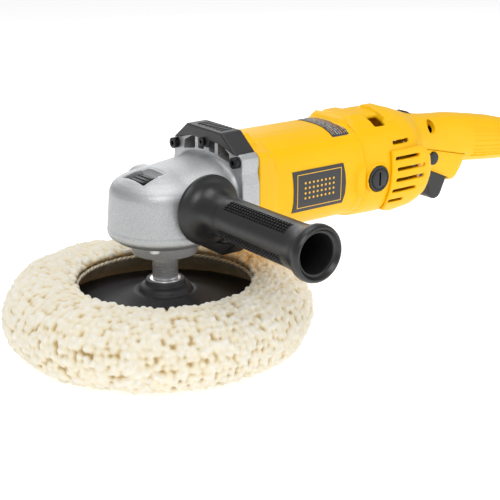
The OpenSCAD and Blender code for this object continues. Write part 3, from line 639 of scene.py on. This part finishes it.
def edged(node, width, slot, body="housing", finish=None):
    # a small CAD part again, with its sharp edges broken
    piece = copied(node)
    modify(piece, "DECIMATE", decimate_type="DISSOLVE", angle_limit=math.radians(1))
    modify(piece, "BEVEL", width=width * mm, segments=2, limit_method="ANGLE",
           angle_limit=math.radians(38), use_clamp_overlap=True)
    return handOver(piece, node + "_edged", slot, body, (node,), finish)


# Gear case

gearCase = {
    "rim": [(38.6, 88), (40.4, 88.3), (41.6, 89.2), (42.3, 90.8), (42.5, 92.4), (42.4, 95.4), (41.7, 96),
            (42.2, 96.7)],
    "dome": [(40.4, 119.5), (40.0, 122.4), (39.0, 125.2), (37.0, 127.8), (33.8, 130.2), (28, 133),
             (20, 135.8),
             (10, 137.5), (2, 138)],
    "neck": [(-8, 35, 19), (0, 39.4, 21.2), (12, 40.6, 22.9), (24, 41, 24.4), (36, 41.2, 26), (40, 43.5, 28)],
    "flange": [(0, 40.8), (18.5, 40.8), (36.5, 34.2), (42.2, 34), (45.2, 31), (45.6, 26), (44.6, 20),
               (46.2, 12),
               (46.5, 0)],
    "window": [(-24.4, 13.2), (-24.4, -13.2), (-11.4, -10.8), (-11.4, 10.8)],
    "sill": [(-12, 130.6), (-9.4, 133.3), (-6, 135.6), (-3.5, 150), (-12, 150)],
    "lip": [(-27, 15.6), (-27, -15.6), (-3.6, -12.2), (-3.6, 12.2)], "lipDepth": 0.9,
}


def mirrored(quarter):
    # a quarter outline in Y and Z made whole about the motor axis
    half = quarter + [(y, -z) for y, z in quarter[-2::-1]]
    return [(y, axisMm + z) for y, z in half + [(-y, z) for y, z in half[-2:0:-1]]]


def flangeWindows(start, end):
    # openings above and below the neck, through the flange or the housing behind it
    cutters = []
    for side in (1, -1):
        for hand in (1, -1):
            for outline in ([(3.2, 30), (3.2, 39.4), (11, 39), (11, 29.4)],
                            [(15, 28.6), (15, 38.8), (19, 38), (29.4, 33), (30.5, 25.8)]):
                points = [(hand * y, axisMm + side * z) for y, z in outline]
                cutters.append(slab("x", points, start, end, 1.4))
    return cutters


def makeGearCase():
    spec = gearCase
    case = turned(spec["rim"] + spec["dome"], sides=128)
    neck = lofted([(x, roundOutline(w, h, h, 2.5, axisMm)) for x, w, h in spec["neck"]])
    flange = slab("x", mirrored(spec["flange"]), 39, 55)
    bosses = [bar("y", 15, -45.6, 45.6, (gripX, axisMm))]
    join(case, [neck, flange] + bosses)
    # the hollow: gear chamber, its roof, the motor's passage and the front bearing's seat
    hollow = [bar("z", 39, 80, 95, (0, 0)), bar("z", 38.6, 94.9, 122, (0, 0), tip=37.2),
              bar("z", 37.2, 121.9, 128, (0, 0), tip=26),
              bar("x", 16, 0, 39, (0, axisMm)), bar("x", 12, 30, 42, (0, axisMm))]
    cut(case, hollow)
    boss = bar("z", 12, 122.5, 136, (0, 0))
    cut(boss, [block((-26, -14, 120), (-11.2, 14, 160))])
    shelf = block((-40, -7, 114.5), (-11, 7, 117.5))
    sockets = [bar("y", 8.5, 36.4, 42, (gripX, axisMm)), bar("y", 8.5, -42, -36.4, (gripX, axisMm))]
    join(case, [boss, shelf] + sockets)
    # a ledge round the button's window, which the softening turns into a bevel
    lip = slab("z", spec["lip"], 118, 150)
    cut(lip, [turned([(r, z - spec["lipDepth"]) for r, z in spec["dome"]])])
    cut(case, [lip])
    softened(case, 0.85, 3)
    blended(case, 14, lambda p: -8 < p.x < 36 and 127 < p.z and abs(p.y) < 40 and (p.x > 4 or abs(p.y) > 18))
    blended(case, 12, lambda p: 4 < p.x < 38.3 and abs(p.y) > 27)
    # crisp machined and cored features
    well = slab("z", spec["window"], 122, 146)
    openEdit(well)
    pickFaces(bmesh.from_edit_mesh(well.data), lambda c, n: n.z > 0.9)
    bpy.ops.transform.resize(value=(1.24, 1.22, 1), center_override=(-12 * mm, 0, 134 * mm))
    closeEdit()
    modify(well, "BEVEL", width=1.6 * mm, segments=4, limit_method="ANGLE", angle_limit=0.8)
    sill = slab("y", spec["sill"], -10.6, 10.6)
    screws = [bar("x", 2.5, 36, 57, (y, axisMm + z)) for y in (-40, 40) for z in (-28.5, 28.5)]
    cut(case, [well, sill] + flangeWindows(36, 58) + screws)
    cut(case, [bar("z", 9.02, 121, 132.6, (0, 0)), bar("z", 2.55, 113, 119, (-17, 0)),
               bar("x", 15.02, 42, 57, (0, axisMm)),
               bar("y", 6.05, -47, -37.4, (gripX, axisMm)), bar("y", 6.05, 37.4, 47, (gripX, axisMm))])
    handOver(case, "gear_case_casting", "cast_alloy", replaced=("gear_case",), angle=48)


# Guards of black plastic over the flange, with raised ribs on the outer face

guard = {
    "front": 36.5, "back": 55.0,
    "outline": [(41, 33.9), (22.6, 47.6), (-22.6, 47.6), (-41, 33.9), (-36.6, 33.9), (-31, 35.6),
                (-18.5, 38.6),
                (-6.4, 38.6), (-5.4, 34.4), (-3.6, 32.9), (3.6, 32.9), (5.4, 34.4), (6.4, 38.6), (18.5, 38.6),
                (31, 35.6), (36.6, 33.9)],
    "seat": [(36.9, 33.8), (18.9, 40.95), (-18.9, 40.95), (-36.9, 33.8), (-30, 20), (30, 20)],
    "ribs": 7, "ribWidth": 2.4, "ribPitch": 4.8,
}


def makeGuard(side, name, node):
    spec = guard
    shape = slab("x", spec["outline"], spec["front"], spec["back"])
    mesh = openEdit(shape)
    pickFaces(mesh, lambda c, n: n.x < -0.9)
    bpy.ops.transform.translate(value=(0, 0, -0.35 * mm))
    closeEdit()
    middle = (spec["ribs"] - 1) / 2
    ribs = []
    for i in range(spec["ribs"]):
        y = (i - middle) * spec["ribPitch"]
        ribs.append(block((42, y - spec["ribWidth"] / 2, 46), (52, y + spec["ribWidth"] / 2, 48.0), 0.35, 2))
    softened(shape, 0.75, 12)
    join(shape, ribs)
    # the flange fills the guard's back
    cut(shape, [slab("x", spec["seat"], 38.98, 60), bar("x", 1.8, 30, 60, (0, 37))])
    if side < 0:
        shape.rotation_euler = (math.pi, 0, 0)
    shape.location = (0, 0, axisZ)
    handOver(shape, name, "guard_plastic", replaced=(node,))


# Housings

motorHousing = {
    "half": [(0, 38.4), (9, 38.2), (17, 37.2), (25, 34.6), (31.5, 30.8), (36.2, 26.2), (39.4, 21.4),
             (41.4, 17.2),
             (42, 12), (42.2, 0)],
    "corners": [(0, 38), (20, 38), (24, 38.6), (37, 34.8), (42.4, 34), (45.4, 31.4), (46.2, 26), (46.2, 0)],
    "tall": [(22, 44.2), (31, 38.4), (31, 0)], "low": [(17, 37), (28, 31), (28, 0)],
    "badge": [(89, 97), (139, 97), (141.4, 105), (142, 113), (141.2, 121), (139, 129.5), (88.5, 129.5),
              (89.6, 121), (90, 113), (89.8, 105)],
    "label": (138, 156, -30, 14),
}


def platesOn(outline, cutter, name, node, slot, finish):
    # thin printed plates that follow the housing's own surface
    plates = slab("x", mirrored([(y + 0.45, z + 0.45 if z else 0) for y, z in outline]), 80, 160)
    cut(plates, [slab("x", mirrored(outline), 79, 161)])
    join(plates, [cutter], "INTERSECT")
    handOver(plates, name, slot, replaced=(node,), finish=finish)


def makeMotorHousing():
    spec = motorHousing
    low, high = (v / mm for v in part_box("motor_housing"))
    shell = slab("x", mirrored(spec["half"]), low.x, high.x)
    # the front end: corner bosses for the flange screws, and a shorter block above and below
    corners = slab("x", mirrored(spec["corners"]), low.x, low.x + 17)
    openEdit(corners)
    pickFaces(bmesh.from_edit_mesh(corners.data), lambda c, n: n.x > 0.9)
    bpy.ops.transform.resize(value=(1, 0.93, 0.93), center_override=(0, 0, axisZ))
    closeEdit()
    tall, flush = mirrored([(0, 44.2)] + spec["tall"]), mirrored([(0, 37.6)] + spec["low"])
    parts = [corners, lofted([(low.x, tall), (low.x + 7, tall), (low.x + 11.5, flush)])]
    rim = [(y * 1.022, z * 1.022) for y, z in spec["half"]]
    parts.append(slab("x", mirrored(rim), high.x - 6.5, high.x))
    # slanted saddle on top and a swelling before each brush cap
    saddle = lofted([(high.x - 9, [(y, axisMm + z) for y,
                                   z in ((22, 30), (17, 37.4), (-17, 37.4), (-22, 30))]),
                     (high.x - 4.5, [(y, axisMm + z) for y,
                                     z in ((24, 30), (18, 41.6), (-18, 41.6), (-24, 30))]),
                     (high.x, [(y, axisMm + z) for y, z in ((25, 30), (19, 42.8), (-19, 42.8), (-25, 30))])])
    parts.append(saddle)
    for hand in (-1, 1):
        parts.append(slab("y", [(high.x - 9.5, 104), (high.x - 9.5, 119), (high.x, 127), (high.x, 96)],
                          *sorted((hand * 30, hand * 45.4))))
    join(shell, parts)
    # the wall closes in over the top and the bottom of the stator
    bore = bar("x", 37.8, low.x - 1, high.x + 1, (0, axisMm), 128)
    join(bore, [block((low.x - 2, -40, axisMm - 35.8), (high.x + 2, 40, axisMm + 35.8))], "INTERSECT")
    cut(shell, [bore])
    softened(shell, 0.95, 4)
    blended(shell, 6, lambda p: low.x + 9 < p.x < low.x + 22 and math.hypot(p.y, p.z - axisMm) > 39.5)
    blended(shell, 12, lambda p: high.x - 13 < p.x < high.x - 1.5 and math.hypot(p.y, p.z - axisMm) > 39.5)
    cut(shell, [bar("x", 2.3, low.x - 1, low.x + 13, (y, axisMm + z)) for y in (-40, 40) for z in (-28.5,
                                                                                                   28.5)])
    cut(shell, flangeWindows(low.x - 0.5, low.x + 6))
    handOver(shell, "motor_housing_shell", "yellow_housing", replaced=("motor_housing",), angle=60)
    platesOn(spec["half"], slab("y", spec["badge"], -60, 60), "side_badge_plates", "side_badges",
             "printed_label",
             finishes["badge"])
    x0, x1, y0, y1 = spec["label"]
    platesOn(spec["half"], block((x0, y0, axisMm + 20), (x1, y1, axisMm + 60)), "top_label_plate",
             "top_label",
             "printed_label", finishes["label"])


rearHousing = {
    "saddle": [(161.02, 24, 38.5), (163.5, 26, 41), (167, 28, 42.9), (180, 28, 42.9), (183, 26, 40.5)],
    "dotPitch": 3.1, "dots": (313, 391), "dotAngles": [-36 + 9 * k for k in range(8)],
}


def gripSide(x, angle):
    # place and outward direction on the grip's side, at an angle above the level through its middle
    points = [(304, 118.5, 18.5, 22.8), (311, 118, 18.3, 22.2), (327, 116, 18.2, 21.5),
              (345, 113.8, 18, 20.4),
              (362, 111.3, 18, 18.7), (385, 107.5, 18.5, 17.6), (397, 105.3, 20, 18.5)]
    middle, wide, high = (float(np.interp(x, [p[0] for p in points], [p[k] for p in points])) for k in (1, 2,
                                                                                                        3))
    c, n = math.cos(math.radians(angle)), math.sin(math.radians(angle))
    y, z = wide * abs(c) ** (2 / 2.4), math.copysign(abs(n) ** (2 / 2.4), n) * high
    out = Vector((0, abs(y / wide) ** 1.4 / wide, math.copysign(abs(z / high) ** 1.4, z) / high)).normalized()
    return Vector((x, y, middle + z)), out


def makeRearHousing():
    spec = rearHousing
    shell = copied("rear_housing")
    # saddle over the joint, with slanted ends and sides
    outline = [(1, 28.2), (0.96, 31.5), (0.57, 1), (-0.57, 1), (-0.96, 31.5), (-1, 28.2)]
    saddle = lofted([(x, [(w * y, axisMm + (z if z > 1 else h)) for y, z in outline])
                     for x, w, h in spec["saddle"]])
    room = bar("x", 40.2, 150, 190, (0, axisMm))
    join(shell, [cut(saddle, [room])])
    # web between the two sets of air slots
    join(shell, [block((197, -1.2, 77.5), (222, 1.2, 154.5))])
    softened(shell, 1.0, 3)
    # oval sinks for the handle screws
    for hand in (-1, 1):
        sink = bar("y", 4.6, *sorted((hand * 9.2, hand * 30)), (258.5, 137.4))
        sink.scale = (1, 1, 1.25)
        sink.location = (0, 0, -0.25 * 137.4 * mm)
        cut(shell, [settled(sink)])
    # rows of small domes on both sides of the grip
    points, faces = [], []
    first, last = spec["dots"]
    for hand in (-1, 1):
        for row, angle in enumerate(spec["dotAngles"]):
            for column in range(int((last - first) / spec["dotPitch"])):
                place, out = gripSide(first + spec["dotPitch"] * (column + 0.5 * (row % 2)), angle)
                along, across = Vector((1, 0, 0)), out.cross(Vector((1, 0, 0)))
                start = len(points)
                for radius, rise in ((0.95, -0.6), (0.8, 0.22), (0.35, 0.5)):
                    for k in range(6):
                        turn = k * math.pi / 3
                        point = place + out * rise + (along * math.cos(turn) + across * math.sin(turn)) * radius
                        points.append(Vector((point.x, hand * point.y, point.z)) * mm)
                faces += [tuple(start + k for k in range(5, -1, -1)), tuple(start + 12 + k for k in range(6))]
                faces += [(start + 6 * t + k, start + 6 * t + (k + 1) % 6, start + 6 * t + 6 + (k + 1) % 6,
                           start + 6 * t + 6 + k) for t in (0, 1) for k in range(6)]
    dots = meshPiece("dots", points, faces)
    openEdit(dots)
    closeEdit()
    join(shell, [dots])
    handOver(shell, "rear_housing_shell", "yellow_housing", replaced=("rear_housing",), angle=60)


def makeTriggerHousing():
    shell = copied("trigger_housing")
    softened(shell, 0.7, 3)
    handOver(shell, "trigger_housing_shell", "yellow_housing", replaced=("trigger_housing",), angle=60)


def makeShields():
    for node in ("right_vent_shield", "left_vent_shield"):
        shell = copied(node)
        softened(shell, 0.62, 4)
        handOver(shell, node + "_shell", "yellow_housing", replaced=(node,), angle=60)


# Side handle

sideHandle = {
    "profile": [(6, 0.1), (24.6, 0), (25.7, 0.5), (26, 1.4), (26, 2.6), (25.4, 3.6), (22, 5.0), (19, 7.4),
                (16.8, 10.6), (15.5, 14.4), (14.9, 18.6), (14.7, 27), (14.2, 27.8), (14.2, 28.6),
                (15.2, 29.2),
                (15.4, 30.4), (15.5, 50), (15.7, 100), (16.1, 109), (16.9, 113.6), (18.1, 117), (19.2, 119.2),
                (19.6, 121.2), (19.5, 123.6), (18.9, 125.4), (17.9, 126.3), (16.9, 126.2), (16.2, 125.4),
                (15.7, 124.2), (14.6, 123.4), (13.9, 123.2), (13.5, 122.4), (13.4, 120), (13.4, 84.4),
                (6, 84.4)],
    "panelAngles": (60, 150, 240, 330), "panelHalf": 17, "panelStart": 36, "panelEnd": 104,
    "rows": 4, "columns": 23,
}


def makeSideHandle():
    spec = sideHandle
    foot = -gripFoot
    grip = turned([(r, -t) for r, t in spec["profile"]], sides=128)
    grip.rotation_euler = (-math.pi / 2, 0, 0)
    grip.location = (gripX * mm, foot * mm, axisZ)
    settled(grip)
    radius = 15.55
    start, end = foot - spec["panelEnd"], foot - spec["panelStart"]

    def around(angle, r):
        # angles run from the front, -X, towards the top
        turn = math.radians(angle)
        return gripX - r * math.cos(turn), axisMm + r * math.sin(turn)

    for middle in spec["panelAngles"]:
        angles = [middle + spec["panelHalf"] * k / 4 for k in range(-4, 5)]
        inner = [around(a, radius - 1.1) for a in angles]
        outer = [around(a, radius + 2) for a in reversed(angles)]
        cut(grip, [slab("y", inner + outer, start, end)])
    pitch = (end - start) / spec["columns"]
    studs = []
    tilt = 2 * spec["panelHalf"] / spec["rows"]
    for middle in spec["panelAngles"]:
        for row in range(spec["rows"]):
            angle = middle + tilt * (row - (spec["rows"] - 1) / 2)
            for column in range(spec["columns"]):
                studs.append((angle, start + pitch * (column + 0.5)))
    # one pyramid-topped stud, copied for the whole knurl
    half, base, top = pitch * 0.34, radius - 1.5, radius + 0.15
    wide = math.radians(tilt * 0.36) * radius
    corners = [(-wide, -half, base), (wide, -half, base), (wide, half, base), (-wide, half, base),
               (-wide * 0.6, -half * 0.6, top), (wide * 0.6, -half * 0.6, top), (wide * 0.6, half * 0.6, top),
               (-wide * 0.6, half * 0.6, top)]
    faces = [(3, 2, 1, 0), (4, 5, 6, 7), (0, 1, 5, 4), (1, 2, 6, 5), (2, 3, 7, 6), (3, 0, 4, 7)]
    points, sides = [], []
    for angle, y in studs:
        turn = math.radians(angle)
        out = Vector((-math.cos(turn), 0, math.sin(turn)))
        side = Vector((math.sin(turn), 0, math.cos(turn)))
        first = len(points)
        for a, b, r in corners:
            points.append((Vector((gripX, y, axisMm)) + side * a + Vector((0, b, 0)) + out * r) * mm)
        sides += [tuple(first + i for i in face) for face in faces]
    knurl = meshPiece("knurl", points, sides)
    openEdit(knurl)
    closeEdit()
    join(grip, [knurl])
    cut(grip, [bar("y", 6.05, foot - 41, foot + 1, (gripX, axisMm))])
    handOver(grip, "side_handle_moulding", "handle_rubber", replaced=("side_handle_grip",), angle=40)


# Backing pad

pad = [(9, 22.2), (87.6, 22.2), (88.6, 22.8), (88.9, 24), (88.9, 26.4), (88.4, 27.6), (87, 28.3), (80, 29),
       (70, 30.3), (58, 32), (46, 34.5), (37, 37), (31, 39.4), (27, 41.6), (24.4, 43.2), (23.4, 43.6),
       (22.4, 43.5), (21.4, 43.2), (20.6, 43.6), (20.1, 44.6), (19.8, 46), (19.1, 47.2), (17.9, 47.9),
       (16.6, 48.2), (15.6, 48.8), (15.1, 50), (14.9, 51.4), (14.5, 52.1), (13.6, 52.3), (12.5, 52.2),
       (12.02, 51.7), (12.02, 29.02), (20.02, 29.02), (20.02, 26), (9, 26)]


def makePad():
    body = turned(pad + [pad[0]], sides=160)
    openEdit(body)
    bpy.ops.mesh.select_all(action="SELECT")
    bpy.ops.mesh.remove_doubles(threshold=1e-6)
    pickFaces(bmesh.from_edit_mesh(body.data), lambda c, n: c.xy.length < 0.5)
    bpy.ops.mesh.delete(type="FACE")
    closeEdit()
    handOver(body, "backing_pad_rubber", "pad_rubber", "spindle_group", ("backing_pad",))


# Wool bonnet

bonnet = {
    "base": [(1, 5.2), (50, 5), (93, 5.2), (101, 6.8), (107.5, 10.6), (111.8, 16), (114, 22.5), (114.3, 29),
             (112.6, 36), (108.8, 42.4), (103, 47.6), (96, 51), (88, 53.2), (80.5, 53.8), (74, 53.2),
             (69, 52),
             (67, 51.2), (67.6, 50.9), (70.6, 50.8), (73.2, 48.9), (76.7, 45.2), (84.6, 37.7), (89.9, 31.8),
             (92.1, 27.6), (91.9, 22.6), (89, 20.2), (1, 20.1)],
    "edge": 16, "pitch": 5.1, "cell": 1.05, "bulge": 5.5, "toward": math.radians(143.5), "seed": 11,
}


def curlShape():
    # one lock of wool standing on +Z, rounded and bent a little at its tip
    rings = [(0.8, -0.3, 0.0), (1.0, 0.25, 0.03), (0.97, 0.6, 0.1), (0.74, 0.88, 0.2), (0.4, 1.02, 0.28)]
    count = 9
    points = [(0, 0, -0.4)]
    for r, z, lean in rings:
        for i in range(count):
            turn = 2 * math.pi * i / count
            points.append((r * math.cos(turn) + lean, r * math.sin(turn), z))
    points.append((0.3, 0, 1.06))
    faces = [(0, 1 + (i + 1) % count, 1 + i) for i in range(count)]
    for k in range(len(rings) - 1):
        a, b = 1 + k * count, 1 + (k + 1) * count
        faces += [(a + i, a + (i + 1) % count, b + (i + 1) % count, b + i) for i in range(count)]
    last = 1 + (len(rings) - 1) * count
    faces += [(last + i, last + (i + 1) % count, len(points) - 1) for i in range(count)]
    return np.array(points), faces


def distanceTo(line, places):
    # how far each place (radius, height) is from a line of such points
    nearest = np.full(len(places), 1e9)
    for a, b in zip(line[:-1], line[1:]):
        t = np.clip(((places - a) @ (b - a)) / ((b - a) @ (b - a)), 0, 1)
        nearest = np.minimum(nearest, np.hypot(*(places - a - t[:, None] * (b - a)).T))
    return nearest


def makeBonnet():
    spec = bonnet
    draw = np.random.default_rng(spec["seed"])
    profile = np.array(spec["base"])
    outer, inner = profile[:spec["edge"] + 1], profile[spec["edge"] + 1:]
    steps = np.diff(outer, axis=0)
    lengths = np.hypot(*steps.T)
    along = np.concatenate([[0], np.cumsum(lengths)])
    # rows of locks round the bonnet, each row staggered against the last and every lock a little astray
    s, turn = [], []
    for row, place in enumerate(np.arange(3, along[-1] + 1, spec["pitch"] * 0.87)):
        count = max(3, round(2 * math.pi * np.interp(place, along, outer[:, 0]) / spec["pitch"]))
        s.append(place + draw.normal(0, 0.55, count))
        turn.append((np.arange(count) + 0.5 * (row % 2) + draw.normal(0, 0.13, count)) * 2 * math.pi / count)
    s, turn = np.clip(np.concatenate(s), 0, along[-1]), np.concatenate(turn)
    piece = np.clip(np.searchsorted(along, s) - 1, 0, len(steps) - 1)
    radial, height = np.interp(s, along, outer[:, 0]), np.interp(s, along, outer[:, 1])
    tangent = steps[piece] / lengths[piece][:, None]
    radialOut, heightOut = tangent[:, 1], -tangent[:, 0]
    c, n = np.cos(turn), np.sin(turn)
    place = np.stack([radial * c, radial * n, height], 1)
    normal = np.stack([radialOut * c, radialOut * n, heightOut], 1)
    hoop = np.stack([-n, c, np.zeros(len(s))], 1)
    rise = np.cross(normal, hoop)
    tilt = draw.normal(0, 0.3, (len(s), 2))
    up = normal + hoop * tilt[:, :1] + rise * tilt[:, 1:]
    up /= np.linalg.norm(up, axis=1)[:, None]
    spin = draw.random(len(s)) * 2 * math.pi
    side = hoop * np.cos(spin)[:, None] + rise * np.sin(spin)[:, None]
    side -= up * (side * up).sum(1)[:, None]
    side /= np.linalg.norm(side, axis=1)[:, None]
    third = np.cross(up, side)
    width = draw.uniform(2.3, 3.0, len(s))
    length = draw.uniform(2.9, 4.6, len(s))
    points, faces = curlShape()
    grown = (place[:, None] - normal[:, None] * 0.6
             + side[:, None] * (points[None, :, 0] * width[:, None])[..., None]
             + third[:, None] * (points[None, :, 1] * width[:, None])[..., None]
             + up[:, None] * (points[None, :, 2] * length[:, None])[..., None])
    count = len(points)
    curls = meshPiece("curls", (grown.reshape(-1, 3) * mm).tolist(),
                      [tuple(k * count + i for i in face) for k in range(len(s)) for face in faces])
    wool = turned([tuple(p) for p in spec["base"]], sides=144)
    alone(wool)
    curls.select_set(True)
    bpy.ops.object.join()
    # locks and base become one fleece, flat where it stands
    modify(wool, "REMESH", mode="VOXEL", voxel_size=spec["cell"] * mm)
    modify(wool, "SMOOTH", factor=0.3, iterations=1)
    flat = np.zeros(len(wool.data.vertices) * 3, np.float32)
    wool.data.vertices.foreach_get("co", flat)
    points = (flat.reshape(-1, 3) / mm).astype(np.float64)
    turn = np.arctan2(points[:, 1], points[:, 0])
    ring = np.stack([np.hypot(points[:, 0], points[:, 1]), points[:, 2]], 1)
    # how far each point stands off the base; the fleece finish turns this into painted shade, darker deep
    # between the locks
    pile = distanceTo(outer, ring) * (distanceTo(inner, ring) > 1.5)
    # the wool bulges to one side, stands higher there, and swells slowly in and out round the rim
    outside = np.clip(distanceTo(inner, ring) / 16, 0, 1) * np.clip((ring[:, 0] - 55) / 40, 0, 1)
    top = np.clip((ring[:, 1] - 24) / 26, 0, 1)
    facing = np.cos(turn - spec["toward"])
    swell = 0.8 * np.sin(5 * turn + 1) * np.sin(3 * turn) + 0.6 * np.sin(11 * turn + 2)
    push = 1 + outside * (spec["bulge"] * facing + swell) / np.maximum(ring[:, 0], 1)
    points[:, :2] *= push[:, None]
    points[:, 2] += outside * top * (0.7 * spec["bulge"] * np.clip(facing, 0, 1) + swell)
    points[:, 2] = np.where(points[:, 2] < 1.2, 0.25 + 0.2 * points[:, 2], points[:, 2])
    points[:, 2] = np.maximum(points[:, 2], 0.02)
    wool.data.vertices.foreach_set("co", (points * mm).astype(np.float32).ravel())
    # the pile depth goes on the mesh for the painted shade in the fleece finish
    depth = wool.data.attributes.new("pile", "FLOAT", "POINT")
    depth.data.foreach_set("value", np.clip(pile / 4.4, 0, 1).astype(np.float32))
    handOver(wool, "wool_fleece", "wool", "spindle_group", ("wool_bonnet",), angle=180)


skin = {
    "profile": [(0.6, 21.2), (40, 21.2), (80, 21.2), (88, 21.3), (90.6, 22.6), (91.4, 25), (91.2, 28.2),
                (89.4, 32.2), (84.8, 37.6), (80, 41.8), (75.4, 45.6), (72, 48), (69.6, 50)],
    "pleats": 46, "fold": 1.0, "steps": 276,
}


def makeSkin():
    # hide cut as a disc, turned up over the pad's rim and gathered in pleats at the mouth
    spec = skin
    profile = spec["profile"]
    count = spec["steps"]
    points = [(0, 0, profile[0][1] * mm)]
    for k, (r, z) in enumerate(profile[1:]):
        share = max(0, min(1, (z - 30) / 16))
        for i in range(count):
            turn = 2 * math.pi * i / count
            wave = math.sin(spec["pleats"] * turn + 1.3 * math.sin(7 * turn)) * spec["fold"] * share
            points.append(((r + wave * 0.7) * math.cos(turn) * mm, (r + wave * 0.7) * math.sin(turn) * mm,
                           (z + wave * 0.3) * mm))
    faces = [(0, 1 + i, 1 + (i + 1) % count) for i in range(count)]
    for k in range(len(profile) - 2):
        a, b = 1 + k * count, 1 + (k + 1) * count
        faces += [(a + i, b + i, b + (i + 1) % count, a + (i + 1) % count) for i in range(count)]
    hideSheet = meshPiece("skin", points, faces)
    openEdit(hideSheet)
    closeEdit()
    modify(hideSheet, "SOLIDIFY", thickness=1.5 * mm, offset=0)
    handOver(hideSheet, "bonnet_hide", "sheepskin", "spindle_group", ("bonnet_skin",), angle=60)


def makeDrawcord():
    # two twisted strands round the mouth
    bpy.ops.object.select_all(action="DESELECT")
    low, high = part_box("bonnet_drawcord")
    bpy.ops.mesh.primitive_torus_add(major_radius=(high.x - low.x) / 2 - 1.7 * mm, minor_radius=1.35 * mm,
                                     major_segments=420, minor_segments=14,
                                     location=(0, 0, (low.z + high.z) / 2))
    rope = settled(bpy.context.object)
    middle = (low.z + high.z) / 2
    major = (high.x - low.x) / 2 - 1.7 * mm
    for point in rope.data.vertices:
        turn = math.atan2(point.co.y, point.co.x)
        centre = Vector((major * math.cos(turn), major * math.sin(turn), middle))
        out = point.co - centre
        phase = math.atan2(out.z, out.xy.dot(centre.xy) / centre.xy.length)
        point.co = centre + out * (1 + 0.2 * math.cos(2 * phase + 70 * turn))
    handOver(rope, "drawcord_twist", "drawcord", "spindle_group", ("bonnet_drawcord",), angle=60)


def makeSmallParts():
    edged("spindle_cover", 0.6, "cast_alloy")
    for node in ("guard_screws", "gear_case_screws"):
        edged(node, 0.45, "black_fastener")
    # brush caps with a ring groove and a screwdriver slot
    profile = [(10.5, 41.1), (10.5, 46.2), (10.1, 46.9), (8.9, 47.1), (8.5, 46.5), (7.9, 46.5), (7.5, 47.3),
               (6.9, 47.6), (1, 47.6)]
    for hand, node in ((-1, "right_brush_cap"), (1, "left_brush_cap")):
        cap = turned([(r, hand * y) for r, y in profile], "y", (173.5, axisMm - 4), 64)
        slot = block((172.7, 45.6, axisMm - 9.5), (174.3, 49, axisMm + 1.5), 0.3, 2)
        slot.scale = (1, hand, 1)
        cut(cap, [settled(slot)])
        handOver(cap, node + "_moulding", "black_plastic", replaced=(node,))
    trigger = copied("trigger")
    softened(trigger, 0.6, 14)
    cut(trigger, [bar("y", 2.05, -20, 20, (262, 101.5), 32)])
    handOver(trigger, "trigger_moulding", "black_plastic", "trigger", ("trigger",), angle=60)
    edged("lock_on_button", 0.7, "black_plastic", "lock_on_button")
    edged("spindle_lock_button", 0.5, "black_plastic", "spindle_lock")
    edged("speed_dial", 0.25, "black_plastic", "speed_dial")
    edged("cord_inlet_bush", 0.7, "black_rubber")
    edged("pad_hub", 0.5, "machined_steel", "spindle_group")
    edged("spindle", 0.4, "machined_steel", "spindle_group")


def makeFloor():
    bpy.ops.object.select_all(action="DESELECT")
    bpy.ops.mesh.primitive_plane_add(size=40, location=(0, 0, cadBox[0].z))
    floor = bpy.context.object
    floor.name = "floor"
    finish = Finish("paleFloor", (0.93, 0.93, 0.93), roughness=0.7, emission_strength=0.48)
    finish.shader.inputs["Emission Color"].default_value = (1, 1, 1, 1)
    floor.data.materials.append(finish.put(base_color=finish.tint(0.01, 3)))


makeCamera()
makeLights()
print("finishes")
finishes = makeFinishes()
paintFrame(finishes)
makeFloor()
print("gear case and guards")
makeGearCase()
makeGuard(1, "upper_guard_cover", "upper_guard")
makeGuard(-1, "lower_guard_cover", "lower_guard")
print("housings")
makeMotorHousing()
makeRearHousing()
makeTriggerHousing()
makeShields()
print("side handle, pad and bonnet")
makeSideHandle()
makePad()
makeBonnet()
makeSkin()
makeDrawcord()
print("small parts")
makeSmallParts()
